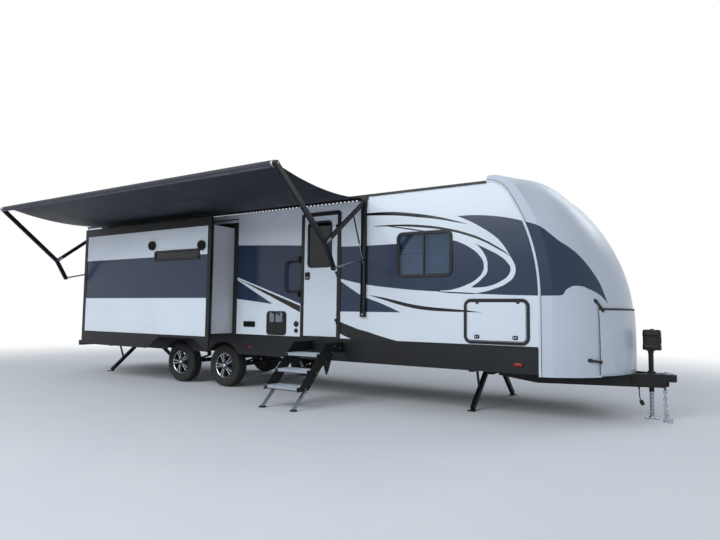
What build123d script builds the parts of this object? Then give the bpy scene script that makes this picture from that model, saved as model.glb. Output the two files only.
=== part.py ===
from build123d import *
import math
import os

# Travel caravan, parked on its tongue jack with slide room, awning and stair out.
# Millimetres. +X points to the hitch, +Y to the road side, +Z up. The origin is on
# the ground under the tongue jack, on the centre line.

# Body shell
half_width = 1220.0
wall = 50.0
floor_top = 880.0
floor_thick = 70.0
wall_top = 2975.0
crown = 30.0
rear_x = -10400.0
seat_gap = 0.3
door_gap = 5.0
run_past = 1.0
least_radius = 3.0
search_reach = 4000.0
search_steps = 50

# Side wall front edge: upright, then two arcs up to the roof
seam_x = -1065.0
seam_start_z = 1500.0
seam_low_r = 2460.0
seam_high_r = 315.0

# Nose centre line: upright, then two arcs up to the roof crown
nose_x = -188.0
nose_start_z = 1150.0
nose_low_r = 2213.0
nose_high_r = 700.0

# Front cap
cap_bottom = 545.0
band_length = 140.0
band_inset = 30.0
corner_lead = 22.0
cap_leg = 150.0
ridge_rise = 70.0
nose_rise = 110.0
# Sections of the cap: tip in degrees, and how far its shoulders stand fuller than a plain bow
cap_stations = (
    (0.0, 0.0), (15.0, 0.0), (30.0, 0.0), (45.0, 60.0), (60.0, 130.0), (68.0, 130.0), (76.0, 70.0),
    (83.0, 10.0), (90.0, 0.0),
)
bow_shares = (1.0, 0.93, 0.8, 0.6, 0.3, 0.0, -0.3, -0.6, -0.8, -0.93, -1.0)

# Lift-off gas locker cover
cover_half_width = 830.0
cover_top = 1350.0
cover_bottom = 572.0
cover_thick = 8.0
cover_air = 5.0
cover_lap = 35.0
bay_back_x = -900.0
liner_air = 14.0
bottle_r = 155.0
bottle_height = 420.0
bottle_y = 175.0
bottle_x = -560.0
bottle_spare = 45.0
bottle_collar = 0.6
tray_thick = 10.0

# Skirts and wheel arches
skirt_bottom = 565.0
skirt_thick = 20.0
arch_r = 405.0

# Wheels and axles
axle_xs = {"front": -6338.0, "rear": -7428.0}
tyre_r = 350.0
tyre_width = 205.0
tyre_outer_y = 1188.0
tyre_bead_inset = 18.0
tyre_side_rise = 40.0
tyre_side_drop = 42.0
tyre_shoulder = (8.0, 24.0)
tyre_tread_inset = 44.0
rim_r = 208.0
rim_wall = 10.0
hub_r = 62.0
spindle_r = 20.0
spindle_air = 0.3
spindle_end = 32.0
spoke_set = 22.0
spoke_thick = 20.0
hub_set = 14.0
hub_depth = 70.0
spoke_pairs = 5
# Rim windows, corner by corner: distance from the hub's centre, and half width
wide_window = ((88.0, 16.0), (176.0, 48.0), (188.0, 0.0))
slot_window = ((104.0, 6.0), (178.0, 15.0), (184.0, 0.0))
axle_r = 36.0
axle_air = 14.0
spring_width = 45.0
spring_thick = 28.0
spring_reach = 430.0
spring_rise = 90.0
hanger_inset = 30.0
hanger_half = 25.0

# Chassis
rail_y = 880.0
rail_bottom = 560.0
rail_width = 100.0
rail_flange = 10.0
rail_web = 8.0
rail_front_x = -1150.0
cross_depth = 70.0
cross_width = 45.0
cross_xs = (-1400.0, -2600.0, -3500.0, -4900.0, -5700.0, -8100.0, -9000.0, -10200.0)
tongue_depth = 165.0
tongue_width = 55.0
tongue_web = 10.0
tongue_start_x = -1750.0
tongue_start_y = 685.0
tongue_end_x = 170.0
tongue_end_y = 62.0
tongue_taper = 480.0
tongue_taper_rise = 95.0
tongue_beam = 60.0
tongue_cross_xs = (-1250.0, -420.0)
jack_plate = (-60.0, 90.0, 100.0)

# Coupler
ball_x = 235.0
ball_r = 29.8
coupler_half = 44.0
coupler_root = 84.0
coupler_tip = 283.0
coupler_low = 470.0
coupler_high = 556.0
coupler_nose = 70.0
coupler_corner = (18.0, 20.0)
coupler_round = 10.0
throat_low = 405.0
throat_foot = 24.0
socket_depth = 52.0
socket_wall = 6.0

# Tongue jack
jack_tube_r = 30.0
jack_leg_r = 25.0
jack_air = 0.3
jack_tube_low = 330.0
jack_head_low = 852.0
jack_head_high = 1108.0
jack_head_back = -85.0
jack_head_front = 118.0
jack_head_half = 72.0
jack_head_corner = 30.0
jack_head_round = 22.0
jack_tube_cap = 40.0
jack_leg_top = 60.0
foot_size = 150.0
foot_corner = 12.0
foot_thick = 9.0

# Safety chains
chain_x = 150.0
staple_drop = 23.0
chain_links = 8
# Links that lie on the ground, by the chain's side
ground_links = {-1: 10, 1: 4}
link_half = 30.0
link_half_width = 18.0
link_wire = 8.0
link_step = 43.7
link_corner = 9.0

# Openings of the side walls: low x, high x, low z, high z, corner radius
window_front = (-3012.0, -2182.0, 1764.0, 2391.0, 90.0)
baggage = (-2023.0, -1182.0, 906.0, 1474.0, 95.0)
entry = (-4689.0, -3951.0, 850.0, 2795.0, 60.0)
hatch = (-5375.0, -4971.0, 905.0, 1281.0, 60.0)
window_left_front = (-4500.0, -3670.0, 1764.0, 2391.0, 90.0)
window_left_rear = (-8900.0, -7700.0, 1764.0, 2391.0, 90.0)
frame_lap = 22.0
window_band = 38.0
mullion = 26.0
frame_proud = 12.0
frame_bite = 30.0
glass_thick = 5.0
blind_thick = 6.0
blind_set = 12.0
blind_air = 4.0
hinge_r = 6.0
hinge_knuckle = 40.0
hinge_strap = 32.0
hinge_strap_thick = 4.0
hinge_lift = 6.6

# Entry door
entry_band = 60.0
leaf_thick = 40.0
leaf_proud = frame_proud
door_window = (-4556.0, -4120.0, 1957.0, 2645.0, 60.0)
door_hinges = (1100.0, 1800.0, 2500.0)
door_glass_set = 12.0
door_glass_thick = 8.0
handle_z = 1825.0
latch_width = 92.0
latch_height = 115.0
latch_inset = 18.0
latch_plate = 12.0
latch_grip = 30.0

# Baggage doors and hatch
lid_band = 30.0
lid_thick = 38.0
lid_hinge_inset = 120.0
catch_inset = 140.0
catch_half = 25.0
catch_proud = 14.0
catch_foot = 40.0
catch_height = 30.0

# Slide room, drawn out
slide_front_x = -6106.0
slide_rear_x = -9560.0
slide_low = 823.0
slide_high = 2790.0
slide_out = 545.0
slide_lap = 40.0
slide_lap_low = 82.0
slide_lap_high = 122.0
slide_panel = 50.0
slide_wall = 40.0
trim_width = 75.0
trim_foot = 40.0
trim_head = 140.0
trim_thick = 8.0
slide_inner_y = -1120.0
slide_air = 12.0
slide_pad = 90.0
slide_pads = (0.08, 0.5, 0.92)
seal_front = 90.0
seal_rear = 66.0
seal_head = 80.0
seal_thick = 6.0
slide_window = (-7495.0, -6360.0, 2110.0, 2288.0, 40.0)
slide_discs = ((-7552.0, 2386.0), (-6311.0, 2333.0))
disc_r = 64.0
disc_thick = 26.0
# Skirts that hang under the slide panel, clear of the wheels: outer end, inner end at the foot and top
slide_skirts = ((slide_front_x, -6136.0, -6450.0), (slide_rear_x, -7626.0, -7316.0))
slide_skirt_low = 617.0
slide_skirt_thick = 20.0

# Awning
arm_front_x = -3544.0
arm_rear_x = -9820.0
channel_width = 78.0
channel_depth = 42.0
channel_low = 1215.0
rail_out = 30.0
rail_height = 38.0
rail_drop = 66.0
rail_overhang = 60.0
roller_y = -3176.0
roller_z = 3003.0
roller_r = 38.0
fabric_thick = 4.0
cloth_margin = 60.0
fabric_lift = 17.0
fabric_mid_y = -2300.0
fabric_mid_z = 2893.0
elbow_y = -2176.0
elbow_z = 2177.0
heel_y = -1990.0
heel_z = 1862.0
arm_top_z = 2870.0
arm_low_z = 2030.0
arm_thick = 44.0
arm_width = 56.0
strut_size = 16.0
strut_top = (-1514.0, 2624.0)
strut_foot = (-1250.0, 1990.0)
arm_pin = 64.0
pin_r = 9.0

# Stair: treads by front edge y and top z, lowest first
stair_x0 = -4470.0
stair_x1 = -3905.0
tread_depth = 230.0
tread_thick = 46.0
stair_side = 14.0
treads = ((-2257.0, 292.0), (-2046.0, 495.0), (-1837.0, 700.0))
plate_depth = 232.0
plate_low = 235.0
plate_high = 845.0
plate_root = 700.0
stair_foot_y = -2300.0
leg_width = 34.0
foot_pad = 36.0
foot_rise = 16.0

# Stabilisers
stabiliser_xs = (-2047.0, -9900.0)
stabiliser_depth = 45.0
stabiliser_foot_y = 890.0
stabiliser_top_y = 260.0
stabiliser_leg = 58.0
stabiliser_strut = 26.0
stabiliser_beam = 60.0
stabiliser_pad = (50.0, 45.0, 12.0)
strut_ends = (700.0, 600.0, 230.0)

# Gutter rails
gutter_proud = 16.0
gutter_drop = 26.0
gutter_rise = 6.0

# Roof kit
aircon_x = -5250.0
aircon_length = 980.0
aircon_width = 700.0
aircon_height = 300.0
vent_xs = (-2500.0, -8600.0)
vent_size = 420.0
vent_height = 75.0

# Grab handle beside the entry door
grab_x = -4722.0
grab_reach = 265.0
grab_low = 1545.0
grab_high = 2095.0
grab_r = 13.0
grab_out = 34.0
grab_slope = 30.0
bracket_out = 52.0
bracket_half = 20.0
bracket_height = 24.0

# Lamps: side markers by place, height, length and height of the lens; tail lamps by y and z
marker_lamps = ((-1328.0, 672.0, 110.0, 46.0), (-5715.0, 700.0, 80.0, 30.0))
marker_proud = 14.0
tail_lamp_width = 180.0
tail_lamp_height = 150.0
tail_lamp_inset = 40.0
tail_lamp_z = 1075.0
tail_lamp_proud = 28.0

# Wall fittings: the heater vent's low x, high x, low z, high z; the inlets' x, z and radius
heater_vent = (-5871.0, -5628.0, 1020.0, 1110.0)
vent_proud = 16.0
vent_rim = 12.0
cable_inlets = ((-4770.0, 1087.0, 42.0), (-4770.0, 985.0, 30.0))

# Tow lead: the points that it passes, from the drawbar down to its plug
lead_route = ((-126.0, -160.0, 394.7), (-126.0, -160.0, 262.0), (-110.0, -160.0, 230.0))
lead_bend = 60.0
lead_r = 7.0
plug_r = 24.0
plug_length = 62.0

# Rear
bumper_size = 100.0
bumper_z = 520.0
bumper_gap = 120.0
bumper_inset = 40.0
bumper_arm = 30.0


class RolledEdge:
    """An upright line that turns into two arcs, each tangent to the next, up to a level top."""

    def __init__(self, x, start_z, low_r, high_r, top):
        self.x = x
        self.start_z = start_z
        self.low_r = low_r
        self.high_r = high_r
        self.top = top
        self.turn = math.asin((top - start_z - high_r) / (low_r - high_r))
        self.low_centre = (x - low_r, start_z)
        self.join = self.on_low(self.turn)
        self.high_centre = (
            self.join[0] - high_r * math.cos(self.turn),
            self.join[1] - high_r * math.sin(self.turn),
        )
        self.top_x = self.high_centre[0]

    def on_low(self, angle):
        cx, cz = self.low_centre
        return (cx + self.low_r * math.cos(angle), cz + self.low_r * math.sin(angle))

    def on_high(self, angle):
        cx, cz = self.high_centre
        return (cx + self.high_r * math.cos(angle), cz + self.high_r * math.sin(angle))

    def x_at(self, z):
        """Where the edge stands at a height."""
        if z <= self.start_z:
            return self.x
        if z <= self.join[1]:
            cx, cz = self.low_centre
            return cx + math.sqrt(self.low_r**2 - (z - cz) ** 2)
        cx, cz = self.high_centre
        return cx + math.sqrt(max(self.high_r**2 - (z - cz) ** 2, 0.0))

    def holds(self, x, z):
        return z <= self.top and x <= self.x_at(z)

    def reach(self, x0, z0, angle):
        """How far a ray from (x0, z0) runs before it leaves the outline."""
        near = 0.0
        far = search_reach
        for _ in range(search_steps):
            middle = (near + far) / 2
            if self.holds(x0 + middle * math.cos(angle), z0 + middle * math.sin(angle)):
                near = middle
            else:
                far = middle
        return near

    def draw(self, low_z):
        """Lines and arcs of the edge, from low_z to the top, in the current line builder."""
        Line((self.x, low_z), (self.x, self.start_z))
        ThreePointArc((self.x, self.start_z), self.on_low(self.turn / 2), self.join)
        high_turn = (self.turn + math.pi / 2) / 2
        ThreePointArc(self.join, self.on_high(high_turn), (self.top_x, self.top))


def slab(x0, x1, y0, y1, z0, z1, mode=Mode.ADD):
    """A block between two corners, in the current part builder."""
    with Locations(((x0 + x1) / 2, (y0 + y1) / 2, (z0 + z1) / 2)):
        Box(abs(x1 - x0), abs(y1 - y0), abs(z1 - z0), mode=mode)


def panel(x0, x1, z0, z1, radius, y, thick, mode=Mode.ADD):
    """A round-cornered plate on an upright plane, from y towards -Y."""
    with BuildSketch(Plane.XZ.offset(-y)) as outline:
        with Locations(((x0 + x1) / 2, (z0 + z1) / 2)):
            RectangleRounded(x1 - x0, z1 - z0, radius)
    extrude(outline.sketch, amount=thick, mode=mode)


def knuckle(origin, along, into, side):
    """One hinge knuckle with its strap: along is the pin's direction, into points over the carrier,
    and side points away from the wall."""
    start = Vector(*origin)
    pin = Vector(*along)
    out = Vector(*side)
    with BuildSketch(Plane(origin=start, x_dir=Vector(*into), z_dir=pin)) as section:
        Circle(hinge_r)
        lean = 1 if pin.cross(Vector(*into)).dot(out) < 0 else -1
        with Locations((hinge_strap / 2, lean * (hinge_lift - hinge_strap_thick / 2))):
            Rectangle(hinge_strap, hinge_strap_thick)
    extrude(section.sketch, amount=hinge_knuckle)


def grown(opening, by):
    """An opening's table row, larger all round."""
    x0, x1, z0, z1, radius = opening
    return (x0 - by, x1 + by, z0 - by, z1 + by, max(radius + by, least_radius))


def bar(start, end, width, height, mode=Mode.ADD):
    """A square bar between two points; its width lies level."""
    direction = Vector(*end) - Vector(*start)
    side = Vector(0, 0, 1).cross(direction)
    if side.length < 1.0:
        side = Vector(1, 0, 0)
    plane = Plane(origin=start, x_dir=side, z_dir=direction)
    with BuildSketch(plane) as section:
        Rectangle(width, height)
    extrude(section.sketch, amount=direction.length, mode=mode)


def tube(start, end, radius, mode=Mode.ADD):
    """A round bar between two points."""
    direction = Vector(*end) - Vector(*start)
    with BuildSketch(Plane(origin=start, z_dir=direction)) as section:
        Circle(radius)
    extrude(section.sketch, amount=direction.length, mode=mode)


pieces = []


def keep(builder, name):
    """Label a finished piece and list it for writing."""
    builder.part.label = name
    pieces.append(builder.part)


seam = RolledEdge(seam_x, seam_start_z, seam_low_r, seam_high_r, wall_top)
cap_back_x = seam.top_x - corner_lead


def side_edge(lead, inset, rise):
    """The side walls' front edge, moved forward by lead, raised at the top, and set in by inset."""
    return RolledEdge(
        seam_x + lead - inset, seam_start_z, seam_low_r - inset, seam_high_r - inset, wall_top + rise - inset
    )


def nose_edge(inset, rise):
    """The nose on the centre line, raised at the top, and set in by inset."""
    return RolledEdge(
        nose_x - inset, nose_start_z, nose_low_r - inset, nose_high_r - inset, wall_top + rise - inset
    )


def bow_x(inset, y, z):
    """Where the cap's bow stands at y and z, set in by inset, below the cap's pivot."""
    ridge_x = side_edge(band_length, inset, ridge_rise).x_at(z)
    ridge_y = half_width - band_inset - inset
    tip_x = nose_edge(inset, nose_rise).x_at(z)
    depth = tip_x - ridge_x
    radius = (ridge_y**2 + depth**2) / (2 * depth)
    return tip_x - radius + math.sqrt(radius**2 - y**2)


def bow_strip(near, far, z):
    """A strip between two insets of the bow, as wide as the gas locker cover, in a level sketch."""
    ends = {inset: bow_x(inset, cover_half_width, z) for inset in (near, far)}
    tips = {inset: bow_x(inset, 0, z) for inset in (near, far)}
    with BuildLine() as outline:
        ThreePointArc((ends[far], -cover_half_width), (tips[far], 0), (ends[far], cover_half_width))
        Line((ends[far], cover_half_width), (ends[near], cover_half_width))
        ThreePointArc((ends[near], cover_half_width), (tips[near], 0), (ends[near], -cover_half_width))
        Line((ends[near], -cover_half_width), (ends[far], -cover_half_width))
    make_face(outline.edges())


def cap_reaches(angle, inset):
    """How far the cap's corner, ridge and nose stand from its hinge line, at an angle above level."""
    start = (cap_back_x, nose_start_z, angle)
    sunk = inset > 0
    corner = side_edge(corner_lead, inset, 0.0).reach(*start)
    ridge = side_edge(band_length, inset, 0.0 if sunk else ridge_rise).reach(*start)
    nose = nose_edge(inset, crown if sunk else nose_rise).reach(*start)
    return corner, ridge, nose


def cap_bow(ridge_y, ridge, nose, fuller):
    """Points across the cap's front: a circular bow with its shoulders filled out."""
    depth = nose - ridge
    radius = (ridge_y**2 + depth**2) / (2 * depth)
    points = []
    for share in bow_shares:
        plain = nose - radius + math.sqrt(radius**2 - (share * ridge_y) ** 2)
        shoulder = 4 * share**2 * (1 - share**2)
        points.append((share * ridge_y, -plain - fuller * shoulder))
    return points


def cap_section(z, angle, fuller):
    """The cap's section on a plane tipped by angle: a thin U round the bow, a wall thick."""
    side_y = half_width
    ridge_y = half_width - band_inset
    in_side_y = side_y - wall
    in_ridge_y = ridge_y - wall
    corner, ridge, nose = cap_reaches(angle, 0.0)
    in_corner, in_ridge, in_nose = cap_reaches(angle, wall)
    foot = corner - cap_leg
    outer = cap_bow(ridge_y, ridge, nose, fuller)
    inner = cap_bow(in_ridge_y, in_ridge, in_nose, fuller)
    tipped = Plane(
        origin=(cap_back_x, 0, z), x_dir=(0, 1, 0), z_dir=(-math.sin(angle), 0, math.cos(angle))
    )
    with BuildSketch(tipped) as section:
        with BuildLine():
            Polyline((side_y, -foot), (side_y, -corner), outer[0])
            Spline(*outer)
            Polyline(outer[-1], (-side_y, -corner), (-side_y, -foot), (-in_side_y, -foot),
                     (-in_side_y, -in_corner), inner[-1])
            Spline(*reversed(inner))
            Polyline(inner[0], (in_side_y, -in_corner), (in_side_y, -foot), (side_y, -foot))
        make_face()
    return section.sketch


def cap_shell():
    """The cap: an upright bow, then short lofts that tip it back into the roof."""
    with BuildPart() as body:
        extrude(cap_section(cap_bottom, 0.0, 0.0), amount=nose_start_z - cap_bottom)
        for start in range(0, len(cap_stations) - 1, 2):
            rows = cap_stations[start:start + 3]
            loft([cap_section(nose_start_z, math.radians(tip), fuller).face() for tip, fuller in rows])
    return body.part


def behind_seam(half, low_z, high_z):
    """The body behind the side walls' front edge, across the caravan."""
    with BuildPart() as body:
        with BuildSketch(Plane.XZ.offset(half)):
            with BuildLine():
                seam.draw(low_z)
                Polyline(
                    (seam.top_x, wall_top),
                    (seam.top_x, high_z),
                    (rear_x, high_z),
                    (rear_x, low_z),
                    (seam.x, low_z),
                )
            make_face()
        extrude(amount=-2 * half)
    return body.part


# Side walls, one solid panel each with its openings cut
def side_wall(y, openings):
    with BuildPart() as side:
        with BuildSketch(Plane.XZ.offset(-y)):
            with BuildLine():
                seam.draw(floor_top)
                Polyline(
                    (seam.top_x, wall_top), (rear_x, wall_top), (rear_x, floor_top), (seam.x, floor_top)
                )
            make_face()
        extrude(amount=wall)
        for opening in openings:
            x0, x1, z0, z1, radius = grown(opening, -frame_lap)
            panel(x0, x1, max(z0, floor_top - radius), z1, radius, y, wall, mode=Mode.SUBTRACT)
    return side.part


slide_hole = (
    slide_rear_x + slide_lap - slide_air,
    slide_front_x - slide_lap + slide_air,
    slide_low + slide_lap_low - slide_air,
    slide_high - slide_lap_high + slide_air,
)
with BuildPart() as right_wall:
    add(side_wall(wall - half_width, (window_front, baggage, entry, hatch)))
    slab(slide_hole[0], slide_hole[1], -half_width, wall - half_width, slide_hole[2], slide_hole[3],
         mode=Mode.SUBTRACT)
    for share in slide_pads:
        x = slide_hole[0] + share * (slide_hole[1] - slide_hole[0])
        slab(x - slide_pad / 2, x + slide_pad / 2, -half_width, wall - half_width, slide_hole[2],
             slide_low + slide_lap_low - seat_gap)
keep(right_wall, "right_wall")

with BuildPart() as left_wall:
    add(side_wall(half_width, (window_left_front, window_left_rear, baggage)))
keep(left_wall, "left_wall")

with BuildPart() as rear_wall:
    slab(rear_x, rear_x + wall, wall - half_width, half_width - wall, floor_top, wall_top - wall)
keep(rear_wall, "rear_wall")

# Roof panel, crowned, between the side walls
roof_edge_y = half_width - band_inset
with BuildPart() as roof_panel:
    with BuildSketch(Plane.YZ.offset(rear_x)):
        with BuildLine():
            ThreePointArc((-roof_edge_y, wall_top), (0, wall_top + crown), (roof_edge_y, wall_top))
            Polyline((roof_edge_y, wall_top), (roof_edge_y, wall_top - wall),
                     (-roof_edge_y, wall_top - wall), (-roof_edge_y, wall_top))
        make_face()
    extrude(amount=seam.top_x - rear_x)
    for side in (-1, 1):
        inner_y = half_width - wall
        slab(rear_x, seam.top_x, side * inner_y, side * half_width, wall_top - wall, wall_top + crown,
             mode=Mode.SUBTRACT)
keep(roof_panel, "roof_panel")

# Floor slab, with its front apron inside the cap
apron_half = half_width - 2 * wall - band_inset
with BuildPart() as floor_slab:
    inner_y = half_width - skirt_thick
    slab(rear_x, seam_x, -inner_y, inner_y, floor_top - floor_thick, floor_top)
    slab(seam_x, bay_back_x, -apron_half, apron_half, floor_top - floor_thick, floor_top)
keep(floor_slab, "floor_slab")

# Front cap: a moulded shell that rolls from an upright bow into the roof
mouth_half = cover_half_width - cover_lap
with BuildPart() as front_cap:
    add(cap_shell())
    add(behind_seam(half_width + wall, cap_bottom - wall, wall_top + 2 * nose_rise), mode=Mode.SUBTRACT)
    slab(bay_back_x, 0, -mouth_half, mouth_half, cap_bottom - run_past, cover_top - cover_lap,
         mode=Mode.SUBTRACT)
    with BuildSketch(Plane.XY.offset(rail_bottom + seat_gap)) as sill:
        bow_strip(0.0, -cover_air - cover_thick, cap_bottom)
    extrude(sill.sketch, amount=cover_bottom - rail_bottom - 2 * seat_gap)
keep(front_cap, "front_cap")

# Gas locker cover: the cap's own bow, standing just proud of it
with BuildPart() as gas_cover:
    for z in (cover_bottom, nose_start_z, cover_top):
        with BuildSketch(Plane.XY.offset(z)):
            bow_strip(-cover_air, -cover_air - cover_thick, z)
    loft()
keep(gas_cover, "gas_cover")

# Gas locker lining behind the cover
liner_top = cover_top + wall
liner_half = cover_half_width + wall
with BuildPart() as gas_locker:
    with BuildSketch(Plane.XY.offset(cap_bottom)):
        with BuildLine():
            inset = wall + liner_air
            end_x = bow_x(inset, liner_half, liner_top)
            ThreePointArc((end_x, -liner_half), (bow_x(inset, 0, liner_top), 0), (end_x, liner_half))
            Polyline((end_x, liner_half), (bay_back_x - wall, liner_half), (bay_back_x - wall, -liner_half),
                     (end_x, -liner_half))
        make_face()
    extrude(amount=liner_top - cap_bottom)
    slab(bay_back_x, 0, -cover_half_width, cover_half_width, cap_bottom, cover_top, mode=Mode.SUBTRACT)
    slab(bay_back_x - wall, bay_back_x, -liner_half, liner_half, cap_bottom, floor_top, mode=Mode.SUBTRACT)
    slab(bay_back_x, bay_back_x + wall, -liner_half, liner_half, cap_bottom, floor_top - floor_thick,
         mode=Mode.SUBTRACT)
keep(gas_locker, "gas_locker")

# Pass-through storage: bulkhead and the deck over it
deck_z = baggage[3] + wall
bulkhead_x = baggage[0] - wall
inside_y = half_width - wall
with BuildPart() as storage_deck:
    slab(bulkhead_x - skirt_thick, seam_x - door_gap, -inside_y, inside_y, deck_z, deck_z + skirt_thick)
    slab(bulkhead_x - skirt_thick, bulkhead_x, -inside_y, inside_y, floor_top, deck_z)
keep(storage_deck, "storage_deck")

# Skirts with the wheel arches cut
with BuildPart() as side_skirts:
    for y in (skirt_thick - half_width, half_width):
        with BuildSketch(Plane.XZ.offset(-y)) as outline:
            with Locations(((rear_x + seam_x) / 2, (skirt_bottom + floor_top) / 2)):
                Rectangle(seam_x - rear_x, floor_top - skirt_bottom)
            with Locations(*[(x, tyre_r) for x in axle_xs.values()]):
                Circle(arch_r, mode=Mode.SUBTRACT)
        extrude(outline.sketch, amount=skirt_thick)
keep(side_skirts, "side_skirts")

# Chassis: two I-beams and the cross members that carry the floor
rail_top = floor_top - floor_thick
with BuildPart() as chassis_frame:
    for y in (-rail_y, rail_y):
        slab(rear_x, rail_front_x, y - rail_web / 2, y + rail_web / 2, rail_bottom, rail_top)
        for z in (rail_bottom, rail_top - rail_flange):
            slab(rear_x, rail_front_x, y - rail_width / 2, y + rail_width / 2, z, z + rail_flange)
    for x in cross_xs:
        cross_y = half_width - skirt_thick
        slab(x, x + cross_width, -cross_y, cross_y, rail_top - cross_depth, rail_top)
    bumper_x = rear_x - bumper_gap
    bumper_half = half_width - bumper_inset
    slab(bumper_x - bumper_size, bumper_x, -bumper_half, bumper_half, bumper_z, bumper_z + bumper_size)
    for y in (-rail_y, rail_y):
        slab(bumper_x, rear_x, y - bumper_arm, y + bumper_arm, rail_bottom, bumper_z + bumper_size)
keep(chassis_frame, "chassis_frame")

# Drawbar: two channels, open inwards, from a beam under the rails to the coupler
tongue_top = rail_bottom
tongue_low = tongue_top - tongue_depth
tongue_mid = tongue_top - tongue_depth / 2


def tongue_y(x):
    """Where a channel's middle stands across the caravan."""
    share = (x - tongue_start_x) / (tongue_end_x - tongue_start_x)
    return tongue_start_y + share * (tongue_end_y - tongue_start_y)


staple_z = tongue_low - link_wire - staple_drop
with BuildPart() as drawbar:
    for side in (-1, 1):
        start = (tongue_start_x, side * tongue_start_y, tongue_mid)
        end = (tongue_end_x, side * tongue_end_y, tongue_mid)
        bar(start, end, tongue_width, tongue_depth)
        inner_start = (tongue_start_x, side * (tongue_start_y - tongue_web), tongue_mid)
        inner_end_x = tongue_end_x - tongue_depth
        inner_end = (inner_end_x, side * (tongue_y(inner_end_x) - tongue_web), tongue_mid)
        bar(inner_start, inner_end, tongue_width, tongue_depth - 2 * tongue_web, mode=Mode.SUBTRACT)
    heel_x = tongue_start_x - tongue_beam
    with BuildSketch(Plane.XZ.offset(-half_width)) as heel:
        Polygon(
            (heel_x, tongue_low - run_past), (tongue_start_x + tongue_taper, tongue_low - run_past),
            (heel_x, tongue_low + tongue_taper_rise), align=None,
        )
    extrude(heel.sketch, amount=2 * half_width, mode=Mode.SUBTRACT)
    slab(heel_x, tongue_start_x, -rail_y - rail_width / 2, rail_y + rail_width / 2,
         tongue_top - tongue_beam, tongue_top)
    for x in tongue_cross_xs:
        reach = tongue_y(x + tongue_width) + (tongue_width - tongue_web) / 2
        slab(x, x + tongue_width, -reach, reach, tongue_low + tongue_web / 2, tongue_top)
    slab(jack_plate[0], jack_plate[1], -jack_plate[2], jack_plate[2], tongue_low, tongue_top)
    slab(tongue_end_x, tongue_end_x + tongue_depth, -tongue_depth, tongue_depth, tongue_low,
         tongue_top, mode=Mode.SUBTRACT)
    tube((0, 0, tongue_low - run_past), (0, 0, tongue_top + run_past), jack_tube_r + jack_air,
         mode=Mode.SUBTRACT)
    for y in (-tongue_end_y, tongue_end_y):
        half = link_wire / 2
        slab(chain_x - half, chain_x + half, y - 4 * half, y + 4 * half, staple_z - link_wire, staple_z)
        for leg_y in (y - 4 * half, y + 3 * half):
            slab(chain_x - half, chain_x + half, leg_y, leg_y + half, staple_z - link_wire, tongue_low)
keep(drawbar, "drawbar")

# Ball coupler with its open socket, welded across the channels' tips on a deep throat
with BuildPart() as coupler:
    neck = coupler_tip - coupler_nose
    corner_x = coupler_tip - coupler_corner[0]
    corner_y = coupler_half - coupler_corner[1]
    with BuildSketch(Plane.XY.offset(coupler_low)) as outline:
        Polygon(
            (tongue_end_x, -coupler_root), (neck, -coupler_half), (corner_x, -coupler_half),
            (coupler_tip, -corner_y), (coupler_tip, corner_y), (corner_x, coupler_half),
            (neck, coupler_half), (tongue_end_x, coupler_root), align=None,
        )
    extrude(outline.sketch, amount=coupler_high - coupler_low)
    fillet(coupler.faces().sort_by(Axis.Z)[-1].edges(), coupler_round)
    throat_x = ball_x - ball_r - socket_wall
    with BuildSketch(Plane.XZ.offset(-coupler_half)) as throat:
        Polygon(
            (tongue_end_x, throat_low), (tongue_end_x + throat_foot, throat_low),
            (throat_x, coupler_low + run_past), (tongue_end_x, coupler_low + run_past), align=None,
        )
    extrude(throat.sketch, amount=2 * coupler_half)
    tube((ball_x, 0, coupler_low), (ball_x, 0, coupler_low + socket_depth), ball_r, mode=Mode.SUBTRACT)
keep(coupler, "coupler")

# Tongue jack: outer tube with power head, and inner leg with foot plate
with BuildPart() as jack_tube:
    tube((0, 0, jack_tube_low), (0, 0, jack_head_low), jack_tube_r)
    tube((0, 0, jack_tube_low), (0, 0, jack_head_low - jack_tube_cap), jack_leg_r + jack_air,
         mode=Mode.SUBTRACT)
keep(jack_tube, "jack_tube")

with BuildPart() as jack_leg:
    tube((0, 0, 0), (0, 0, jack_head_low - jack_leg_top), jack_leg_r)
    with BuildSketch(Plane.XY) as outline:
        RectangleRounded(foot_size, foot_size, foot_corner)
    extrude(outline.sketch, amount=foot_thick)
keep(jack_leg, "jack_leg")

with BuildPart() as jack_head:
    with BuildSketch(Plane.XY.offset(jack_head_low)) as outline:
        with Locations(((jack_head_back + jack_head_front) / 2, 0)):
            RectangleRounded(jack_head_front - jack_head_back, 2 * jack_head_half, jack_head_corner)
    extrude(outline.sketch, amount=jack_head_high - jack_head_low)
    fillet(jack_head.faces().sort_by(Axis.Z)[-1].edges(), jack_head_round)
keep(jack_head, "jack_head")

# Safety chains: each link stands square to the next; the last ones lie on the ground
def chain_link(centre, long_way, wide_way):
    """One link round a centre, its length and its width along two square directions."""
    normal = Vector(*wide_way).cross(Vector(*long_way))
    with BuildSketch(Plane(origin=centre, x_dir=wide_way, z_dir=normal)) as link:
        Rectangle(2 * link_half_width, 2 * link_half)
        chamfer(link.vertices(), link_corner)
        Rectangle(2 * (link_half_width - link_wire), 2 * (link_half - link_wire), mode=Mode.SUBTRACT)
    extrude(link.sketch, amount=link_wire / 2, both=True)


hang_z = staple_z + seat_gap - link_half + link_wire
with BuildPart() as safety_chains:
    for side, on_ground in ground_links.items():
        y = side * tongue_end_y
        for count in range(chain_links):
            across = (0, 1, 0) if count % 2 else (1, 0, 0)
            chain_link((chain_x, y, hang_z - count * link_step), (0, 0, 1), across)
        for count in range(on_ground):
            across = (0, 0, 1) if count % 2 else (1, 0, 0)
            lie_y = y + side * (link_half - link_wire / 2 + count * link_step)
            chain_link((chain_x, lie_y, link_half_width), (0, 1, 0), across)
keep(safety_chains, "safety_chains")

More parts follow.
